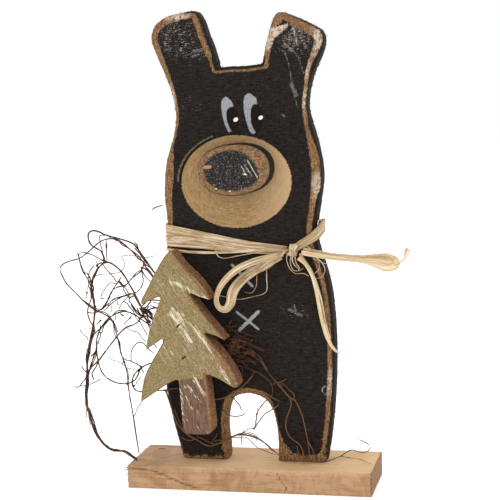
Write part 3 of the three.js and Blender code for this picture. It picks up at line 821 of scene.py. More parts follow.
def bear_fuzz(panel, material):
    """Torn fibres standing off the sawn sides."""
    mesh = panel.data
    points = places(mesh)
    out = normals(mesh)
    sides = np.flatnonzero((np.abs(out[:, 1]) < FUZZ["side"]) & (points[:, 2] > FUZZ["above"]))
    draw = random.Random(FUZZ["seed"])
    gathered = Gathered()
    for _ in range(FUZZ["hairs"]):
        i = sides[draw.randrange(len(sides))]
        lean = np.array([draw.uniform(-0.5, 0.5) for _ in range(3)])
        length = FUZZ["shortest"] + (FUZZ["longest"] - FUZZ["shortest"]) * draw.random() ** FUZZ["few_long"]
        way = out[i] + lean
        way /= np.linalg.norm(way)
        start = points[i] - FUZZ["sunk"] * out[i]
        radius = FUZZ["radius"] * draw.uniform(0.6, 1.2)
        gathered.tube([start, start + way * length * 0.6, start + (way + 0.3 * lean) * length],
                      radius * np.array(FUZZ["taper"]), sides=3)
    return finished("bear_fuzz", gathered.mesh("bear_fuzz"), material)


# Nose.

NOSE_VOXEL = 0.85
NOSE_SAWN = (0.75, -0.5)
NOSE_ROUGH = (0.1, 0.15, 2.0)
NOSE_CORE = [(-27.6, 253.2), (-26.8, 259), (-24.8, 263.1), (-19.1, 267.2), (-11, 269.6), (-4.2, 270.2),
             (3.5, 268.9), (9.8, 264.6), (14.4, 258), (16.6, 252), (15.3, 246.5), (10.6, 242),
             (1.5, 239.2), (-6.6, 238), (-15, 239.6), (-21.2, 242.6), (-25.8, 247.4)]
NOSE_NICK = [(-28.5, 257.6), (-24.5, 259), (-20.6, 258.4), (-21.6, 256.4), (-25.6, 255.6)]
NOSE_MARKS = [(0.35, [(7.7, 262), (15.1, 248.9)]), (0.25, [(5.1, 259.1), (8.6, 253.1)]),
              (0.3, [(2.7, 258), (6.1, 250.8)]), (0.25, [(6.5, 256.8), (10.6, 250.4)]),
              (0.4, [(3.5, 251.6), (6.8, 251)]), (0.45, [(-7.6, 238.4), (-6.4, 238.7)]),
              (0.35, [(-18.3, 240.2), (-17.8, 240.8)])]


def nose(material):
    mesh, points, facing, flat = refined("nose_block", NOSE_VOXEL)
    store(mesh, "core", signed(flat, NOSE_CORE))
    store(mesh, "nick_and_slot_shade", signed(flat, NOSE_NICK))
    store(mesh, "marks", strokes(flat, NOSE_MARKS))
    store(mesh, "side", rise(facing, *NOSE_SAWN))
    roughened(mesh, points, facing, *NOSE_ROUGH)
    return finished("nose_button", mesh, material, ["nose_block"])


# Tree.

TREE_VOXEL = 1.15
TREE_SAWN = (0.8, -0.5)
TREE_ROUGH = (0.05, 0.16, 3.0)
TRUNK = [(-52.8, 89.2), (-47, 90.6), (-40, 90.9), (-34.5, 90.4), (-32.6, 93), (-29.6, 60), (-29.4, 44),
         (-55, 42)]
TREE_SCRATCHES = [(0.7, [(-57.5, 167.5), (-50, 166), (-43, 162)]),
                  (0.9, [(-43, 162), (-36, 157), (-25.5, 153.9)]),
                  (1.2, [(-57.5, 142.5), (-53.8, 137.5), (-47.5, 127.5), (-42.5, 121)]),
                  (0.6, [(-50, 140), (-42.5, 134), (-35, 125), (-30, 118.8), (-24, 107)]),
                  (0.5, [(-24, 107), (-17.5, 96), (-12, 88)]), (0.7, [(-56, 146), (-48, 141)]),
                  (0.4, [(-55, 141), (-50, 137)]), (0.5, [(-64, 116), (-57, 110)]),
                  (0.8, [(-62, 113), (-58, 111)]), (0.4, [(-46, 85), (-41, 79), (-36, 72.5)]),
                  (0.35, [(-40, 90), (-36, 83.5), (-32.5, 77.5)]), (0.5, [(-49.2, 84.4), (-48.6, 83.8)]),
                  (0.5, [(-52.6, 80), (-51.6, 62)]), (0.3, [(-48, 76), (-44, 66)])]
TREE_SANDED = [(0.9, [(-31, 130), (-26, 123)]), (2, [(-27, 122), (-22.4, 115.6)]),
               (3.2, [(-21.4, 113.6), (-15.6, 106)]), (4.2, [(-14.6, 104.4), (-6.6, 91), (-5.2, 84.4)]),
               (1.9, [(-28, 47), (-30, 82.5), (-31.5, 94.2)]),
               (0.9, [(-44.3, 160.8), (-30.6, 141.4), (-14, 121.3)]),
               (0.9, [(-54.8, 192.3), (-45.8, 179.7), (-24.8, 153.2)]),
               (0.5, [(-82, 149.6), (-69.8, 175), (-56.7, 192.3)]),
               (0.6, [(-86, 70.5), (-80, 95.5), (-63.2, 122.6)])]


# Painted shade in the slots where the two staples sit sunk in the tree's face: half width and line of each,
# then how far behind the front face it reaches.
STAPLE_SLOT_SHADES = [(0.7, [(-53.4, 131.8), (-51, 134.2)]), (0.7, [(-49.8, 106.4), (-46.8, 108.6)])]
STAPLE_SLOT_SHADE_DEPTH = 2
FLECKED = [((-70, 136), (9, 12)), ((-58, 112), (12, 12)), ((-52, 164), (14, 8)), ((-48, 136), (14, 14)),
           ((-36, 105), (18, 18)), ((-66, 158), (10, 12))]


def tree(material):
    mesh, points, facing, flat = refined("tree_board", TREE_VOXEL)
    depth = points[:, 1]
    store(mesh, "trunk", signed(flat, TRUNK))
    store(mesh, "scratch", strokes(flat, TREE_SCRATCHES) + np.where(depth < TREE_MIDDLE, 0, FAR_OFF))
    store(mesh, "strip", -strokes(flat, TREE_SANDED))
    store(mesh, "side", rise(facing, *TREE_SAWN))
    # The staple slots' painted shade goes on the front face only.
    in_front = depth < TREE_FRONT + STAPLE_SLOT_SHADE_DEPTH
    store(mesh, "nick_and_slot_shade", strokes(flat, STAPLE_SLOT_SHADES) + np.where(in_front, 0, FAR_OFF))
    store(mesh, "flecked", patches(flat, FLECKED))
    roughened(mesh, points, facing, *TREE_ROUGH)
    return finished("tree_panel", mesh, material, ["tree_board"])


# Plinth.

PLINTH_VOXEL = 1.7
PLINTH_KNOT = ((-85.2, 18.9), (3.4, 2.2))
PLINTH_KNOT_ABOVE = 17
# Cracks in the plinth's front, drawn as lines of painted shade: half width and line.
PLINTH_CRACK_SHADES = [(0.7, [(-98.6, 17), (-86.5, 16.2), (-76.8, 15.3), (-68.4, 12), (-61.3, 9.2), (-51.8, 5.2),
                        (-41.1, 2.3)]), (0.5, [(24.4, 16.6), (27.6, 9.7), (32.1, 5.1), (29.7, 1.5)])]
# How strongly a painted highlight lightens the plinth's top, from its left end to its right.
PLINTH_TOP_HIGHLIGHT = ([-99, -72, -40, 99], [-0.5, 0.1, 1.1, 1.05])
PLINTH_FRONT_WAY = -0.5
# Ridges along the board, torn ends, fibres in them and the chewed left end, each with its amount,
# stretch along the axes, size and seed.
PLINTH_ROUGH = [(0.1, (0.04, 1, 1), 2.6, 4.0), (0.35, (1, 1, 1), 2.4, 6.0), (0.25, (1, 0.2, 1), 1.5, 8.0),
                (0.5, (1, 1, 1), 3.1, 14.0)]
PLINTH_CHEWED = 3
PLINTH_SPLINTERS = [(0.8, [(-94, -31.7, 15.8), (-98.4, -31.8, 15.4), (-102.6, -31.9, 14.6)]),
                    (0.6, [(-95, -31.6, 17), (-98.6, -31.7, 16.9), (-101.4, -31.6, 17.2)]),
                    (0.45, [(-96, -32, 12), (-99.4, -32.2, 11.4), (-100.6, -32.2, 10.6)])]


def plinth(material):
    mesh, points, _, flat = refined("plinth", PLINTH_VOXEL)
    way = normals(mesh)
    low, high = points.min(0), points.max(0)
    ends = np.clip(np.abs(way[:, 0]), 0, 1)
    store(mesh, "edge", np.sort(np.minimum(points - low, high - points), axis=1)[:, 1])
    store(mesh, "end", ends)
    # The painted highlight lies on upward faces, with little of it at the left end.
    store(mesh, "top", np.clip(way[:, 2], 0, 1) * np.interp(points[:, 0], *PLINTH_TOP_HIGHLIGHT))
    on_top = points[:, 2] > PLINTH_KNOT_ABOVE
    store(mesh, "marks", oval(points[:, :2], *PLINTH_KNOT)[0] + np.where(on_top, 0, FAR_OFF))
    on_front = way[:, 1] < PLINTH_FRONT_WAY
    store(mesh, "crack_shade", strokes(flat, PLINTH_CRACK_SHADES) + np.where(on_front, 0, FAR_OFF))
    store(mesh, "corner", np.hypot(points[:, 0] - high[0], points[:, 1] - low[1]))
    ridges, torn, fibres, chewed = (amount * wobble(points * stretch, size, seed)
                                    for amount, stretch, size, seed in PLINTH_ROUGH)
    push = ridges * (1 - ends) + ends * (torn + fibres)
    push = push + np.where(points[:, 0] < low[0] + PLINTH_CHEWED, chewed, 0)
    put_places(mesh, points + way * push[:, None])
    gathered = Gathered()
    for radius, stops in PLINTH_SPLINTERS:
        route = curve(stops, 5)
        gathered.tube(route, radius * np.linspace(1.2, 0.25, len(route)), sides=5)
    splinters = gathered.mesh("plinth_splinters")
    for name in ("edge", "marks", "crack_shade", "corner"):
        store(splinters, name, np.full(len(splinters.vertices), FAR_OFF))
    finished("plinth_splinters", splinters, material)
    return finished("plinth_board", mesh, material, ["plinth"])


# Raffia: the band round the neck, its knot, the bow's three strips and the loose fibres.

NECK = [((33, -8.1, 190.2), 5.5, (0, -1)), ((5, -8.1, 192.2), 8.5, (0, -1)),
        ((-30, -8.1, 197), 12, (0, -1)), ((-62.5, -8.1, 201.4), 16, (-0.4, -1)),
        ((-66.1, -4, 201.7), 16, (-1, -0.4)), ((-66.3, 9, 201.7), 15.5, (-1, 0.4)),
        ((-62.5, 13.2, 201.8), 15, (-0.4, 1)), ((-30, 13.2, 203), 13.5, (0, 1)),
        ((15, 13.2, 205), 11.5, (0, 1)), ((54.2, 13.2, 207.3), 9.5, (0.4, 1)),
        ((59.6, 9.5, 208.4), 9, (1, 0.5)), ((61.3, 2, 208.5), 8.5, (1, 0)),
        ((60.3, -4.5, 206.6), 7.5, (1, -0.5)), ((54.8, -8.3, 201), 6.5, (0.3, -1)),
        ((44, -8.1, 194.6), 5.5, (0, -1)), ((39, -9, 191.2), 5, (0, -1))]
# Each strand of the band: its place across it, its share of the width, how far it lies out, its folds.
STRANDS = [(-0.36, 0.34, 0.1, 1.5), (-0.12, 0.4, 0.45, 2.0), (0.14, 0.36, 0.2, 1.5), (0.36, 0.32, 0.5, 2.0),
           (0.0, 0.9, -0.35, 4.0)]
LOWER_STRAND = [(-62.4, 13.4, 196.5), (-66.6, 9, 193.4), (-66.8, 0, 191.8), (-66, -5.5, 191.2),
                (-61.5, -8.6, 190.8), (-40, -8.6, 188.6), (-10, -8.7, 189), (18, -9.4, 190),
                (36, -10.5, 190.4)]
LOWER_STRAND_OUTS = [(-0.4, 1, 0), (-1, 0.4, 0), (-1, 0, 0), (-1, -0.4, 0), (-0.4, -1, 0)] + [(0, -1, 0)] * 4
BOW = {
    "raffia_loop_left": {
        "width": 5.5, "exit": (34, -12, 189),
        "points": [(30.4, -12.6, 187.9), (18.7, -15, 184.9), (7.3, -17.5, 182), (-4, -20, 177.1),
                   (-13.4, -22, 169.5), (-19.4, -24, 160.9), (-21.2, -25.5, 152.8), (-18.7, -26, 147),
                   (-13.9, -25.5, 145.8), (-10.3, -24, 150.4), (-8.9, -22, 158.1), (-3.8, -19, 166.1),
                   (4.8, -15.5, 173), (16, -12, 179), (28.4, -9.8, 185.2)]},
    "raffia_loop_right": {
        "width": 5.5, "exit": (42, -12, 189.5),
        "points": [(45.2, -12.6, 188.8), (56, -13.4, 186.8), (72, -14, 184.6), (90, -14, 182.8),
                   (104, -13.8, 180.6), (113, -13, 178.6), (117.4, -11.6, 180.2), (113, -10.2, 182.4),
                   (104, -9.6, 183.6), (90, -9.6, 184.4), (74, -9.6, 185.6), (60, -9.4, 187.6),
                   (46, -9.8, 190.6)]},
    "raffia_tail": {
        "width": 3.6, "exit": (40, -12, 187),
        "points": [(42.6, -12.4, 184.6), (48.5, -12.4, 179.5), (53, -12, 171), (55.6, -11, 160),
                   (57.6, -10.2, 147), (60, -9.8, 133), (63.5, -9.8, 121), (68, -9.6, 112.5),
                   (72.4, -9.2, 108.6)]},
}
BOW_PALE = [0.0, 0.75, 1.0]
STEPS_PER_STOP = 6
LOOP_LEFT_WIDTHS = ([0, 1, 3, 4, 5, 6, 7, 8, 9, 10, 11, 12, 13, 14],
                    [4.4, 5.4, 5.6, 5, 4.4, 4, 4.4, 5.6, 7.2, 8, 8, 7.4, 6, 4.4])
PETAL = (93, 17)
PETAL_WIDTHS = (0.68, 1.05)
TAIL_WIDTHS = ([0, 0.3, 0.75, 1], [0.95, 0.78, 0.84, 0.5])
LOOP_LEFT_SHADE = ((-3, 168), (9, 5.5), 52)
LOOP_LEFT_RETURNS = -23
KNOT_MIDDLE = (38.4, -11, 190.4)
# Turns of the knot: half sizes across and up, depth, tilt in degrees and strip width.
KNOT_TURNS = [(3.6, 4.6, 3.4, 18, 4.2), (3.2, 5.2, 3.8, -28, 3.2), (4.4, 3.4, 3.1, 50, 3.4),
              (2.6, 4.2, 4.2, 4, 2.6)]
FIBRES = [
    (0.45, [(-25, -8.5, 192), (-23, -9, 186), (-19, -9, 184), (-6, -9, 186), (6, -9, 188), (20, -9.5, 190)]),
    (0.5, [(32.6, -14, 190.5), (24.4, -14, 185.6), (18.3, -14, 181.2), (11.1, -14.6, 176.2),
           (5.9, -16, 171.6),
           (1.7, -18, 167.6), (-3.6, -21, 161.8), (-7.3, -23, 156), (-9.5, -24, 152)]),
    (0.45, [(32.6, -14, 190), (25.3, -14, 182.1), (18.1, -14, 176.2), (11, -15, 173.6), (3.9, -17, 172.8),
            (0.3, -18, 169.8)]),
    (0.35, [(20, -11, 184), (17, -9.5, 181), (16, -8.6, 169), (15, -8.4, 157), (4, -8.4, 153),
            (-8, -8.4, 151),
            (-23, -9, 154)]),
    (0.3, [(8, -8.4, 170), (7, -8.2, 161), (3, -8.2, 156), (-3, -8.4, 157)]),
    (0.4, [(44, -13, 192), (48, -12.6, 194), (53, -12.4, 191), (57, -12, 185), (62, -11, 179),
           (63, -10.5, 174),
           (60, -10, 169), (56, -9.6, 168)]),
    (0.3, [(54, -12, 186), (57, -11.5, 184), (59, -11, 179), (58, -11, 175), (55, -11, 172)]),
    (0.35, [(34, -11, 188), (33, -11, 184), (34, -11, 179), (36, -11, 175), (40, -11, 172), (46, -11, 172),
            (50, -10.5, 170)]),
    (0.3, [(37, -12, 187), (36, -11.5, 181), (38, -11, 175), (42, -10.5, 174), (46, -10.5, 176)]),
    (0.5, [(38, -13, 186), (38, -12.5, 182), (40, -12, 178), (44, -11.5, 175)]),
    (0.5, [(40, -13, 186), (41, -12.5, 180), (43, -12, 177), (42, -11.5, 174)]),
    (0.35, [(58, -8.8, 210), (59, -8.8, 213.5), (60.5, -8.8, 214.3), (61.4, -8.6, 212.8),
            (60.4, -8.4, 211.4)]),
    (0.22, [(46, -11, 189), (63, -11, 190), (75, -11, 191), (86, -11, 190), (94, -11, 188),
            (100, -12, 185.5)]),
    (0.2, [(54, -11, 184), (63, -11, 180), (71, -11, 179), (78, -11, 175), (83, -11, 173), (91, -11, 173),
           (98, -12, 177)]),
    (0.3, [(115, -12.4, 180), (118, -12, 185), (121, -12, 186.4), (123, -12, 184.4), (123, -12, 182)]),
]
TIP = {"points": [(112, -12.6, 178), (117, -12.2, 179), (122, -12, 181), (125, -12, 183), (126.6, -12, 187),
                  (128.4, -12, 191.6)], "widths": [2.4, 1.8, 1.4, 2.2, 3.9, 4.1]}
SPARE_TAIL = [(44, -13.2, 188), (47.5, -13.2, 182.5), (51.6, -12.9, 176.5), (54.4, -12.2, 170),
              (56.7, -11.2, 163), (59.5, -10.6, 152), (61.4, -10.3, 140), (63, -10.1, 130), (66, -9.9, 120.5)]


def towards_front(count):
    return np.tile((0.0, -1.0, 0.0), (count, 1))


def even(ways):
    return ways / np.linalg.norm(ways, axis=1)[:, None]


def widths_along(widths, per_stop):
    return curve([(width, 0, 0) for width in widths], per_stop)[:, 0]


def knot_turn(across, up, deep, tilt):
    """A ring round the knot's middle, tilted in the plane of the board."""
    turns = np.linspace(0, 2 * math.pi, 26)
    lean = math.radians(tilt)
    x, z = across * 0.25 * np.sin(turns), up * np.sin(turns)
    return np.stack([x * math.cos(lean) - z * math.sin(lean), -deep * np.cos(turns),
                     z * math.cos(lean) + x * math.sin(lean)], axis=1)


def neck_band(material):
    gathered = Gathered()
    middle = curve([at for at, _, _ in NECK], 8)
    outs = even(curve([(*out, 0) for _, _, out in NECK], 8))
    widths = widths_along([width for _, width, _ in NECK], 8)
    runs = np.arange(len(middle))
    ups = np.cross(np.gradient(middle, axis=0), outs)
    ups *= np.sign(ups[:, 2:3]) / np.linalg.norm(ups, axis=1)[:, None]
    for number, (place, share, lift, folds) in enumerate(STRANDS):
        drift = 0.06 * np.sin(runs / 19 + 2.1 * number)
        route = middle + ups * (widths * (place + drift))[:, None] + outs * lift
        gathered.strip(route, widths * share + 0.5, outs, fold=0.45, folds=folds + 0.5,
                       seed=0.7 * number, steps=11)
    gathered.strip(curve(LOWER_STRAND), 2.2, even(curve(LOWER_STRAND_OUTS)), thickness=0.45, fold=0.2,
                   folds=1, seed=5.0, steps=7)
    for number, (*turn, width) in enumerate(KNOT_TURNS):
        route = knot_turn(*turn)
        gathered.strip(route + np.array(KNOT_MIDDLE), width, even(route), thickness=0.6, folds=1.6,
                       seed=9.0 + number)
    for number, (radius, stops) in enumerate(FIBRES):
        route = curve(stops, 7)
        gathered.tube(route, radius * np.linspace(1.1, 0.7, len(route)), sides=5, shift=40 + 5.0 * number)
    tip = curve(TIP["points"])
    gathered.strip(tip, widths_along(TIP["widths"], 6), towards_front(len(tip)), thickness=0.4, fold=0.15,
                   folds=1.2, seed=3.3)
    spare = curve(SPARE_TAIL, 7)
    gathered.strip(spare, np.linspace(2.2, 1.1, len(spare)), towards_front(len(spare)), fold=0.25,
                   folds=1.0, seed=6.1)
    return finished("raffia_tie_and_fibres", gathered.mesh("raffia_tie"), material,
                    ["raffia_neck_tie"])


def length_of(route):
    return float(np.linalg.norm(np.diff(route, axis=0), axis=1).sum())


def bow_widths(name, route, width):
    """The right loop opens into a petal at its fold, and the tail narrows to its tip."""
    if name == "raffia_loop_right":
        least, more = PETAL_WIDTHS
        return width * (least + more * rise(route[:, 0], *PETAL))
    if name == "raffia_tail":
        return width * np.interp(np.linspace(0, 1, len(route)), *TAIL_WIDTHS)
    return np.interp(np.arange(len(route)) / STEPS_PER_STOP, *LOOP_LEFT_WIDTHS)


def bow(material):
    for number, (name, strip) in enumerate(BOW.items()):
        route = curve(strip["points"], STEPS_PER_STOP)
        gathered = Gathered()
        gathered.strip(route, bow_widths(name, route, strip["width"]), towards_front(len(route)),
                       thickness=0.7, folds=1.7, seed=1.3 * number + 0.4, steps=13)
        mesh = gathered.mesh(name)
        points = places(mesh)
        returning = (points[:, 1] > LOOP_LEFT_RETURNS) & (name == "raffia_loop_left")
        shade = np.clip(1.6 - 1.2 * oval(points[:, [0, 2]], *LOOP_LEFT_SHADE)[1], 0, 1)
        store(mesh, "shade", np.where(returning, shade, 0))
        store(mesh, "pale", np.full(len(points), BOW_PALE[number]))
        piece = finished(f"{name}_strip", mesh, material, [name])
        length_of(route) * MM


# Vine: the fused runners refined, and the thin twigs that branch from them.

# Strands as they show against the slot's plane, as (x, z), with their radius.
STRANDS_LEFT = [
    (0.4, [(-117, 202.5), (-119, 203), (-121, 202.5), (-121.5, 200), (-121, 196), (-120, 191), (-119, 187)]),
    (0.45, [(-116, 200), (-116, 195), (-116, 191), (-116.2, 187), (-116, 183), (-116, 180.5)]),
    (0.8, [(-116, 196), (-115.9, 191.5)]),
    (0.55, [(-141, 188.5), (-140, 185), (-139, 180), (-137, 174.5), (-135.8, 170.5)]),
    (0.85, [(-135.8, 173), (-135.4, 170.6)]),
    (0.6, [(-134, 172.4), (-131.5, 168.6), (-131, 165), (-129, 161), (-128.6, 157)]),
    (0.5, [(-127.5, 178), (-130, 175.4), (-131.6, 172.4), (-133, 166), (-133, 162), (-132, 159.5),
           (-130.4, 155)]),
    (0.6, [(-120.5, 180.6), (-123.2, 179.4), (-125, 178.6), (-124, 176.8), (-124.9, 173.7), (-126.3, 171),
           (-128.1, 168.6), (-129, 165.4), (-129.8, 161.6), (-130.6, 159), (-131, 155)]),
    (0.9, [(-126.8, 170.4), (-128.4, 167.4)]),
    (0.85, [(-125.2, 179), (-123.8, 176.6)]),
    (0.3, [(-125.6, 184), (-125, 181), (-124, 178.5)]),
    (0.45, [(-121, 181), (-118.1, 176.8), (-115.6, 173.7), (-113, 170.8), (-110.8, 168.3), (-109.3, 165.4),
            (-107.3, 165)]),
    (0.3, [(-127, 169.5), (-124, 170.6), (-121, 171.1), (-114, 171.3), (-107, 172.3), (-103, 174.5),
           (-101.2, 178), (-101.4, 181), (-103.6, 185), (-101, 186.3), (-95, 186.4), (-90, 185.4), (-86, 185),
           (-80, 185), (-76, 186), (-72.6, 187.4)]),
    (0.4, [(-119.5, 151.6), (-122.8, 151.1), (-121.9, 154.6), (-119, 158.7), (-116.2, 162.5), (-114.1, 164),
           (-110.8, 163.8), (-108.2, 163.4)]),
    (0.55, [(-104.5, 169), (-106.4, 166), (-108.9, 162.9), (-111.7, 159.1), (-113.9, 155.3), (-116, 151.5),
            (-117.9, 148.3), (-120.4, 145.1), (-122.5, 143)]),
    (0.95, [(-115.3, 152.8), (-116.8, 150.4)]),
    (0.35, [(-135.6, 150.5), (-134.8, 154), (-134.5, 157), (-134, 159), (-133, 162)]),
    (0.8, [(-134.7, 156.8), (-134.5, 154.8)]),
    (0.55, [(-131.6, 159.7), (-131.2, 155.3), (-131.1, 151.5), (-132.2, 148.3), (-133.4, 145),
            (-134.8, 140.5),
            (-134.1, 135.1), (-132, 130.4), (-130.1, 127.6), (-129.8, 123)]),
    (0.55, [(-130.2, 159.7), (-129.2, 155.3), (-128.7, 150.8), (-128.2, 147), (-128.2, 143.8), (-128.3, 139),
            (-129.4, 133.8), (-130.1, 127.8)]),
    (1.0, [(-128.2, 145.2), (-128.2, 142.2)]),
    (1.0, [(-130.3, 129.4), (-129.9, 124.6)]),
    (0.95, [(-106.8, 165.9), (-105.2, 163.5), (-102.4, 160.8)]),
    (0.5, [(-102.4, 161), (-103.4, 159.4), (-102.1, 156.8), (-100.3, 153.7), (-99, 152)]),
    (0.5, [(-102, 160.6), (-100.1, 157.5), (-98.7, 153.7), (-98.5, 149.3), (-96.7, 146.7), (-94.2, 142.9),
           (-91.7, 139.8), (-89, 136.4)]),
    (0.6, [(-109.9, 200), (-106.7, 198.6), (-103.5, 197.3), (-100.4, 194.8), (-97.2, 192.2), (-94.1, 189.7),
           (-92.2, 187.5), (-90.4, 185), (-88.5, 183), (-85.3, 181.6), (-84.1, 179.3), (-79.1, 176),
           (-75.5, 172.2)]),
    (0.5, [(-104.8, 197), (-102.3, 194.8), (-99.1, 193.2), (-96, 191.3), (-93.5, 188.8), (-91, 185.6),
           (-89.6, 183)]),
    (0.55, [(-92, 192.4), (-90.2, 190.3), (-88.3, 188.1), (-85.9, 184.6), (-83.4, 181.1), (-80.3, 178),
            (-76.6, 173.5)]),
    (0.6, [(-92.2, 197), (-90, 195), (-89, 192.5)]),
    (0.95, [(-90.2, 193.6), (-89.2, 191.6)]),
    (0.85, [(-87, 187), (-84.4, 182.4)]),
    (0.7, [(-86.9, 176.8), (-84.4, 175.8), (-81.9, 174.2), (-80, 171.9), (-77.6, 169.3)]),
    (0.75, [(-82.6, 176.4), (-80, 173), (-77.6, 169.6)]),
    (0.85, [(-87.2, 177), (-86.6, 174.6)]),
    (0.45, [(-87.2, 176.5), (-86.3, 173.6), (-84.6, 169.9), (-82.1, 167), (-79.4, 165)]),
    (0.45, [(-87.6, 174.3), (-91, 172.7), (-93.7, 169.9), (-97.1, 166.2), (-100.5, 162.5), (-103.3, 160)]),
    (0.6, [(-98.4, 151.8), (-95.7, 153), (-93.8, 153.6), (-92.6, 150.5), (-90.2, 146.1), (-88, 144)]),
    (0.9, [(-94.2, 154), (-92.8, 151.2)]),
    (0.5, [(-120.3, 141.2), (-117.6, 143.7), (-114.9, 146.2), (-111.5, 148.7), (-107.5, 151.2),
           (-103.6, 152.7),
           (-99.6, 154.6), (-96.9, 155.2), (-93.8, 154.2), (-91.3, 150.5), (-89.5, 146.7)]),
    (0.8, [(-108.4, 151), (-106.2, 151.6)]),
    (0.4, [(-107.9, 142.4), (-106.1, 145.6), (-103.7, 148.7), (-101, 151.2), (-99.6, 152.4)]),
    (0.5, [(-103, 148.7), (-99.9, 146.8), (-98.7, 144.3), (-97.6, 143)]),
    (0.45, [(-140.9, 152.3), (-137.6, 149.4), (-134.3, 146.8), (-131, 144.8), (-127.6, 143.2),
            (-124.6, 141.5),
            (-121.4, 142.6), (-118.9, 146), (-117, 150)]),
    (0.5, [(-134.9, 139.8), (-131.2, 139.1), (-126.3, 139.9), (-121.4, 140), (-118.1, 138.4), (-115.5, 135.5),
           (-112.9, 131.6), (-112, 129.6)]),
    (1.0, [(-113.4, 133), (-113, 131), (-111.6, 129)]),
    (0.4, [(-111.5, 129.1), (-110.3, 125.9), (-110, 123)]),
    (0.45, [(-113, 130), (-112.9, 126.4), (-112.8, 122.6), (-111.9, 120.7), (-110.4, 118.2), (-108.6, 115.7),
            (-108.1, 111.9), (-108, 106.8), (-106.8, 103), (-104, 100.6), (-100.1, 99.8), (-96.3, 98),
            (-93.1, 96.5), (-91, 95)]),
    (0.35, [(-114.4, 146.1), (-113.8, 142.8), (-114.7, 139.4)]),
    (0.35, [(-109, 149.5), (-108.5, 146.5), (-106.8, 145.9)]),
    (0.4, [(-110.9, 139), (-111.1, 135.6), (-111.5, 133)]),
    (0.65, [(-106.8, 138.8), (-105.2, 137.6), (-104, 136.5)]),
    (0.55, [(-129.7, 121.7), (-127.3, 124.1), (-124.8, 126.1), (-124.4, 129)]),
    (0.5, [(-127.4, 129.6), (-125.2, 131.7), (-123.5, 133.2)]),
    (0.8, [(-124.4, 132.4), (-123.3, 133.4)]),
    (0.5, [(-126, 123.2), (-123.9, 122.5), (-122.4, 126), (-120.8, 129.4), (-118.6, 132.8), (-115.7, 135.5),
           (-112.8, 137.9), (-109.2, 141), (-105, 141.6), (-100.9, 141.1)]),
    (0.4, [(-121.6, 128), (-118.7, 131.4), (-115.1, 134.8)]),
    (0.5, [(-124.2, 123.1), (-124.7, 120.4), (-126.2, 116.3), (-127.1, 113)]),
    (0.5, [(-133.2, 127.2), (-133.3, 125.6)]),
    (0.35, [(-142.3, 125.3), (-139.1, 120.6), (-136.7, 119.3), (-135.8, 116.3)]),
    (0.5, [(-128.9, 105.6), (-130.2, 101.5), (-132.8, 96.1), (-134.8, 92)]),
    (0.55, [(-133.7, 102.9), (-132.2, 104.3), (-130.1, 107)]),
    (0.8, [(-133.8, 103.2), (-132.8, 103.6)]),
    (0.6, [(-132.3, 83.2), (-133.5, 88), (-133, 89.9), (-130.1, 93.9), (-127.1, 99.4), (-124.2, 102.8)]),
    (0.45, [(-142.5, 94.7), (-140.9, 92), (-138.6, 89.6)]),
    (0.4, [(-136, 79.4), (-134.2, 80.2), (-130.7, 81.7), (-126.5, 84.2)]),
    (0.45, [(-149, 77.4), (-147.2, 76.8), (-144.7, 77.9), (-141.7, 81.8), (-139, 85)]),
    (0.4, [(-144.7, 78), (-139.2, 78)]),
    (0.35, [(-136.8, 109.5), (-138.1, 102.8), (-138.3, 97)]),
    (0.4, [(-139.6, 60), (-140.1, 56), (-140.7, 51)]),
    (0.35, [(-138.4, 55.5), (-137.9, 49.2), (-137, 45)]),
    (0.4, [(-134.4, 44), (-133.2, 38.6), (-130.6, 34.4)]),
    (0.4, [(-126, 29), (-122.6, 27.8), (-120.6, 25.2)]),
    (0.3, [(-118.8, 103.4), (-115.1, 100.2), (-110.6, 99), (-107.5, 97.2), (-104.3, 94.7), (-102.4, 91.6),
           (-102.1, 87.1), (-102.5, 77.6), (-101.6, 66)]),
    (0.35, [(-105.6, 100.5), (-106.4, 98.4), (-107.1, 96.6)]),
    (0.35, [(-105, 100), (-104.3, 97.4)]),
    (0.45, [(-99.4, 99.7), (-99.3, 102.9), (-98.9, 106.7), (-97.7, 109.9), (-95.6, 112.8), (-92.9, 114.8),
            (-90.3, 115.2), (-87.7, 114.2), (-85.9, 111.9), (-83.1, 109.1), (-79, 106)]),
    (0.35, [(-101.5, 126.8), (-99, 125.2), (-96.4, 124.3), (-93.2, 124), (-91.9, 122.8), (-90.1, 120.3),
            (-88.3, 117.8), (-86, 115.4)]),
    (0.4, [(-91.4, 134.8), (-89.6, 131), (-87.9, 127.2), (-86, 124), (-84.6, 120.4)]),
    (0.35, [(-94.5, 137.3), (-92.1, 133.5), (-90.2, 131.6)]),
    (0.4, [(-104.7, 129), (-101.9, 132.1), (-99.2, 134.7), (-96.7, 137.6)]),
    (0.7, [(-99, 134), (-98.2, 136)]),
    (0.8, [(-90.3, 143.7), (-87.8, 140), (-86.1, 135.9), (-84.9, 134), (-83, 132.4), (-81.2, 130.8)]),
    (0.7, [(-87.1, 143.7), (-83.3, 140.6), (-80.9, 137.4), (-79, 135)]),
    (0.6, [(-92.3, 143.6), (-89.9, 138.6), (-86.1, 135.6), (-83.7, 131.2), (-82.2, 126.8)]),
    (0.6, [(-88.7, 135.5), (-84.7, 136.9), (-83.5, 135), (-80.6, 132)]),
    (0.5, [(-97.4, 146), (-95, 142.3), (-92.5, 139.1), (-89.4, 136.7)]),
    (0.5, [(-100.6, 147.4), (-98.2, 144), (-95.7, 141), (-94.6, 138.6)]),
    (0.9, [(-93.6, 92.9), (-92.8, 90.6)]),
    (0.8, [(-92.2, 95.8), (-90.4, 94.8)]),
    (0.8, [(-98.4, 79.8), (-97, 78.6)]),
    (0.45, [(-90.8, 93.4), (-89.1, 89.6)]),
    (0.35, [(-91.8, 86.3), (-93.9, 83.7), (-94.9, 82.4), (-96.6, 79.8)]),
    (0.45, [(-79, 113.8), (-76.9, 110.4)]),
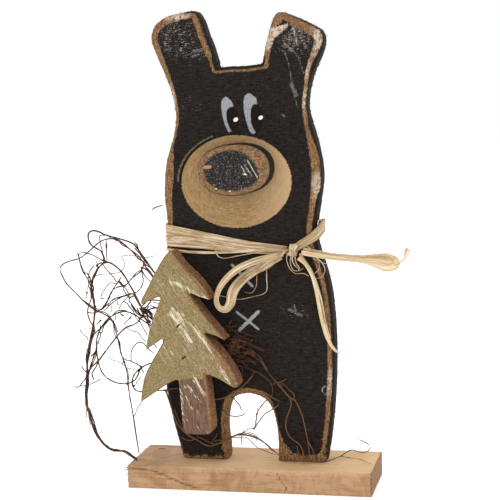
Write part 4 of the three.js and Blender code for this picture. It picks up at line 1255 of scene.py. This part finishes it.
    (0.35, [(-94.4, 99.8), (-94.1, 96)]),
    (0.35, [(-90, 68), (-93, 64), (-96, 60), (-98, 55), (-100, 52)]),
    (0.3, [(-104.4, 94.1), (-99.9, 93.2), (-96, 92.5)]),
    (0.55, [(-88.9, 144.8), (-86.2, 146.7), (-83.5, 149.2), (-80.8, 150.1), (-78.1, 152.3), (-74.8, 153.5),
            (-71, 153.6)]),
    (0.6, [(-80.8, 150.1), (-77.6, 150.1), (-71.4, 149.7)]),
    (0.6, [(-86.4, 142.9), (-83.7, 144.8), (-82.3, 146.7), (-80.9, 148.6), (-79.6, 151.3)]),
    (0.45, [(-81.1, 145.5), (-77.9, 144.5), (-75.3, 143.4), (-74.6, 145)]),
    (0.45, [(-78.4, 147.9), (-75.1, 147.6), (-72.8, 146.8)]),
    (0.5, [(-81.7, 144.8), (-83.8, 142.9), (-81.3, 140.4), (-78.4, 138)]),
    (0.6, [(-87, 144.2), (-85.2, 142.3), (-84, 139.2), (-83, 136.6)]),
    (0.55, [(-88.9, 144.2), (-87.8, 141.1), (-86.4, 137)]),
    (0.5, [(-85.1, 142.9), (-82, 140.4), (-79.2, 137)]),
    (0.45, [(-76, 223), (-73, 225), (-67, 226.6)]),
]
STRANDS_RIGHT = [
    (0.5, [(-19, 130), (-14.1, 127.5), (-11.3, 124.5), (-7.7, 121.6), (-4, 120.2), (-1, 117.8)]),
    (0.4, [(-13.4, 127.2), (-11.1, 129.7), (-9.2, 131.8)]),
    (0.4, [(-17.4, 129), (-14.2, 126), (-10.5, 125.3), (-4.7, 123.5), (1.2, 122), (6.3, 120.6)]),
    (0.6, [(-17, 119), (-12.9, 118.7), (-7.8, 117.9), (-3.3, 116.9), (1.7, 114.7), (6.7, 112.5),
           (11.9, 110)]),
    (0.5, [(-16, 120), (-10.8, 117.1), (-6.4, 115.6), (-2, 114.5), (2.4, 113.1), (6, 111.2), (11, 109.4)]),
    (0.85, [(5.6, 112.6), (8.8, 111.4), (12.6, 109.8)]),
    (0.45, [(-14, 116.6), (-10.1, 114.9), (-5.8, 112), (-2.2, 110.5), (0, 109.8), (2.1, 107.6), (5, 104.6),
            (7.8, 101.7), (9.9, 99.5)]),
    (0.45, [(-16.6, 117.6), (-15.3, 114.4), (-14, 110.7), (-11.9, 107), (-9.8, 104.8), (-6.9, 103.7),
            (-4.5, 106.3), (-2.2, 108.5), (0, 110.2), (2.3, 113.1)]),
    (0.35, [(-10, 112.6), (-8.2, 109.8), (-8.2, 107.5), (-6.8, 106), (-4.5, 107.5), (-5.1, 110.5),
            (-3.6, 112.7)]),
    (0.4, [(-14, 103), (-9.2, 100.2), (-5.4, 101), (-1, 100.3), (3.4, 100.6), (7.8, 101.4)]),
    (0.35, [(-15, 109), (-9, 111.6), (-3.6, 114), (1.6, 117.4), (3, 118.8)]),
    (0.35, [(-15.4, 112), (-10.4, 108.6), (-3.6, 107.6), (2.6, 105.8), (6, 102.6)]),
    (0.35, [(-12.6, 106), (-8, 113), (-3.4, 115.6), (2.2, 114.4)]),
    (0.3, [(-16, 123), (-10, 120.6), (-4, 116.2), (1.4, 110.6), (4.2, 106.6)]),
    (0.3, [(-11, 103.6), (-6, 105.4), (-1.4, 104), (2.4, 101.2)]),
    (0.35, [(-13, 99.4), (-8, 103), (-3, 106.2), (0, 109.6)]),
    (0.6, [(6.6, 107), (9.4, 103.2), (10.4, 100.2), (12.7, 95.1), (14.8, 92.2)]),
    (0.5, [(10.1, 102.5), (10.9, 99.6), (14.8, 92.6), (20.4, 85.4), (23.9, 81.5), (28.9, 75.6), (31, 73.2),
           (33.5, 71), (37.1, 69.6)]),
    (0.4, [(24, 85), (29.1, 81), (31.9, 77.8), (34.8, 75.4), (35.4, 72.5), (33.8, 69.5)]),
    (0.5, [(20.6, 83.4), (23.2, 84.2), (26.2, 85.5), (29.5, 86.8)]),
    (0.4, [(18, 82.4), (21.6, 84.6), (26, 81)]),
    (0.4, [(8, 78), (10.7, 76.1), (14.3, 74), (19.3, 70.8), (23.6, 69)]),
    (0.5, [(16, 71), (12.7, 69.3), (10.3, 67), (6.8, 62.6), (4.7, 58), (3.9, 53.9), (3.1, 49.4),
           (1.9, 45.4)]),
    (0.9, [(2.2, 46.6), (1.2, 45.2)]),
    (0.8, [(3.4, 58.2), (5.2, 57.8)]),
    (0.3, [(4.6, 63.6), (5.8, 60)]),
    (0.45, [(1.9, 45.6), (4.5, 50), (8, 54.6), (11.6, 58.8), (16.1, 61.4), (20.6, 64.4), (22.4, 66)]),
    (0.35, [(1, 46), (-2.6, 45.6), (-5.8, 44.2), (-8, 42.2), (-8.9, 37), (-9.5, 31.6)]),
    (0.35, [(-17, 38), (-14.4, 38.4), (-9.8, 38.4), (-5.3, 38.6), (-2.6, 36.8), (0.9, 33.2), (4.4, 30.1),
            (8.9, 28.4), (14.3, 26.4), (19, 25)]),
    (0.3, [(-9.7, 41.8), (-4.2, 43.2), (1.2, 41.4), (4.8, 39)]),
    (0.4, [(3.4, 39.4), (3.2, 35.6)]),
    (0.45, [(-24, 61), (-22, 59.4), (-18.4, 56.4), (-12.9, 55.6), (-7.4, 57), (-4.1, 59.2)]),
    (0.45, [(-16, 72), (-13.4, 69.4), (-9.9, 65), (-7.8, 60.8)]),
    (0.45, [(-30, 32), (-25, 33.4), (-18, 37.2), (-13, 40.6), (-7, 42), (-1.5, 41.1), (3, 39.3), (7.5, 36.6),
            (11.9, 32.6), (16.4, 28.4), (20.9, 25.8)]),
    (0.45, [(-64, 60.5), (-62.3, 54.9), (-59.9, 49.5), (-57.3, 43.1), (-52, 39)]),
    (0.35, [(-59, 37.4), (-58.4, 36.6), (-54.8, 34.8), (-50.3, 34.9), (-45.6, 36.9)]),
    (0.35, [(-34.4, 33.6), (-30.1, 38.3), (-29.1, 41.1)]),
    (0.35, [(-33, 33.6), (-28.4, 35.6), (-22.9, 34.8)]),
    (0.4, [(-46, 38.4), (-42.9, 37), (-36.6, 33.8), (-32.1, 32.2), (-28, 33)]),
    (0.45, [(35.5, 70.4), (38.6, 64.9), (41.1, 58.5), (42.7, 52), (43.9, 45.5), (45, 39), (47.2, 33.5),
            (49, 30), (50.4, 22)]),
    (0.4, [(45, 39), (46.1, 30), (47, 21.4)]),
    (0.35, [(36.4, 33), (37.2, 28), (37.8, 21.6)]),
]
SHOOTS = {"count": 46, "shortest": 1.2, "longest": 4.5, "radius": 0.3, "seed": 5}
STEM_TRIM = 0.03
FOOT_TRIM = 0.24
MAIN_STEM = [(-129.9, 125), (-131.1, 120.4), (-132.3, 117), (-133.3, 113.6), (-134.4, 110.3), (-135.2, 106.3),
             (-136.5, 103), (-137, 99.6), (-137.6, 95.6), (-137.4, 92.3), (-137.2, 89), (-137.8, 85),
             (-138.2, 79.2), (-138.8, 75.1), (-139.5, 70.3), (-139.9, 66.3), (-139.2, 60.8), (-137.9, 58.1),
             (-136.2, 52.1), (-134.1, 44.6), (-132.9, 41.3), (-131.4, 37.9), (-130.2, 34.5), (-127.2, 30.2)]
MAIN_STRANDS = [(0.7, -0.5), (0.6, 0.6), (0.4, 0.1)]
TUFT = {"count": 46, "radius": (0.28, 0.42), "length": (5, 17), "heading": (-22, 38), "bend": (-9, 9),
        "depth": (-12.6, -8.6), "seed": 17,
        "roots": [(-19, 130), (-14, 121), (-15, 113), (-11, 104), (-5, 98)]}
SEEN_WITHIN = 3.0
# Strands left and right of the tree: how they bow, how deep the right ones rest where no runner is
# near, and how far back they reach.
LEFT_BOW = (-1.5, 1.5)
RIGHT_REST = -9.4
RIGHT_BOW = (-2.6, -0.4)
RIGHT_HINDMOST = -8.4
# Runners right of this and behind that depth carry no shoots.
SHOOTLESS = (-84, -11)
# Where the runners are paler and where they are slender, across and up: see rise.
PALE_PART = ((-84, 10), (96, -20))
SLENDER_PART = ((6, 6), (96, -10))


def on_sight(place, depth, plane):
    """Where the line from the camera through a place, or places, at one depth meets another depth."""
    eye = np.array(EYE)
    share = (plane - eye[1]) / (depth - eye[1])
    return eye + (place - eye) * (share[:, None] if np.ndim(share) else share)


def part(points, along_x, along_z):
    return rise(points[:, 0], *along_x) * rise(points[:, 2], *along_z)


def paled(mesh):
    """Runners low down before the bear are paler."""
    store(mesh, "pale", part(places(mesh), *PALE_PART))


def vine_stems(material):
    mesh = modified("vine_tangle", "SUBSURF", levels=1, render_levels=1)
    points = places(mesh)
    swell = 0.24 * wobble(points, 3.2, 7.0) + 0.12 * wobble(points, 1.1, 9.0) - STEM_TRIM
    swell -= FOOT_TRIM * part(points, *SLENDER_PART)
    put_places(mesh, points + normals(mesh) * swell[:, None])
    paled(mesh)
    return finished("vine_runners", mesh, material, ["vine_tangle"])


def vine_twigs(material):
    """Each strand lies at the depth of the runners that it meets in the camera's view."""
    stems = places(NODES["vine_tangle"].data)
    seen = on_sight(stems, stems[:, 1], SLOT)
    draw = random.Random(3)

    def depths(line, rest, bow):
        """Runner depths where there is a runner, even steps between, and a slight bow of its own."""
        found = []
        for x, z in line:
            away = np.hypot(seen[:, 0] - x, seen[:, 2] - z)
            i = int(away.argmin())
            found.append(float(stems[i, 1]) if away[i] < SEEN_WITHIN else None)
        known = [k for k, value in enumerate(found) if value is not None]
        steps = np.arange(len(line))
        level = np.interp(steps, known, [found[k] for k in known]) if known else np.full(len(line), rest)
        for _ in range(2):
            padded = np.concatenate([level[:1], level, level[-1:]])
            level = (padded[:-2] + 2 * padded[1:-1] + padded[2:]) / 4
        return level + bow * np.sin(np.pi * steps / max(len(line) - 1, 1))

    def strand(radius, line, level, number):
        route = curve([on_sight(np.array([x, SLOT, z], float), SLOT, y) for (x, z), y in zip(line, level)], 5)
        route += 0.22 * np.stack([wobble(route, 2.6, 20 + number + k) for k in range(3)], axis=1)
        width = radius * (1 + 0.25 * wobble(route, 1.8, 60 + number))
        taper = np.interp(np.linspace(0, 1, len(route)), [0, 0.08, 0.9, 1], [0.8, 1, 1, 0.55])
        gathered.tube(route, width * taper)

    gathered = Gathered()
    for number, (radius, line) in enumerate(STRANDS_LEFT):
        strand(radius, line, depths(line, SLOT, draw.uniform(*LEFT_BOW)), number)
    for number, (radius, line) in enumerate(STRANDS_RIGHT):
        level = np.minimum(depths(line, RIGHT_REST, draw.uniform(*RIGHT_BOW)), RIGHT_HINDMOST)
        strand(radius, line, level, 200 + number)
    for number, (radius, shift) in enumerate(MAIN_STRANDS):
        line = [(x + shift + 0.5 * math.sin(k + 2 * number), z) for k, (x, z) in enumerate(MAIN_STEM)]
        strand(radius, line, depths(line, SLOT, 0.6 * number - 0.6), 300 + number)
    tuft = random.Random(TUFT["seed"])
    roots = curve(TUFT["roots"], 8)
    for number in range(TUFT["count"]):
        x, z = roots[tuft.randrange(len(roots))]
        heading = math.radians(tuft.gauss(*TUFT["heading"]))
        bend = math.radians(tuft.uniform(*TUFT["bend"]))
        length = tuft.uniform(*TUFT["length"]) * tuft.uniform(0.5, 1)
        line = [(x + tuft.uniform(-2, 1), z + tuft.uniform(-2, 2))]
        for _ in range(6):
            x, z = line[-1]
            line.append((x + length / 6 * math.cos(heading), z + length / 6 * math.sin(heading)))
            heading += bend
        level = np.full(len(line), tuft.uniform(*TUFT["depth"]))
        strand(tuft.uniform(*TUFT["radius"]), line, level, 400 + number)
    for _ in range(SHOOTS["count"]):
        i = draw.randrange(len(stems))
        if stems[i, 0] > SHOOTLESS[0] and stems[i, 1] > SHOOTLESS[1]:
            continue
        way = np.array([draw.uniform(-1, 1), draw.uniform(-0.8, 0.8), draw.uniform(-1, 1)])
        way /= np.linalg.norm(way)
        length = draw.uniform(SHOOTS["shortest"], SHOOTS["longest"])
        bend = np.array([draw.uniform(-0.4, 0.4) for _ in range(3)])
        route = curve([stems[i], stems[i] + way * length * 0.5 + bend, stems[i] + way * length + 2 * bend], 4)
        if route[:, 2].min() > PLINTH_TOP + 1:
            gathered.tube(route, SHOOTS["radius"] * np.linspace(1.3, 0.7, len(route)), sides=5)
    mesh = gathered.mesh("vine_twigs")
    paled(mesh)
    return finished("vine_twigs", mesh, material)


def main():
    camera()
    studio()
    raffia = raffia_finish()
    bow(raffia)
    neck_band(raffia)
    panel = bear(bear_paint())
    bear_fuzz(panel, sawn_fibre())
    nose(nose_paint())
    tree(tree_paint())
    plinth(pine())
    bark = vine_bark()
    vine_stems(bark)
    vine_twigs(bark)
    steel = dark_steel()
    for name in ("tree_staple_upper", "tree_staple_lower"):
        NODES[name].data.materials.clear()
        NODES[name].data.materials.append(steel)


main()
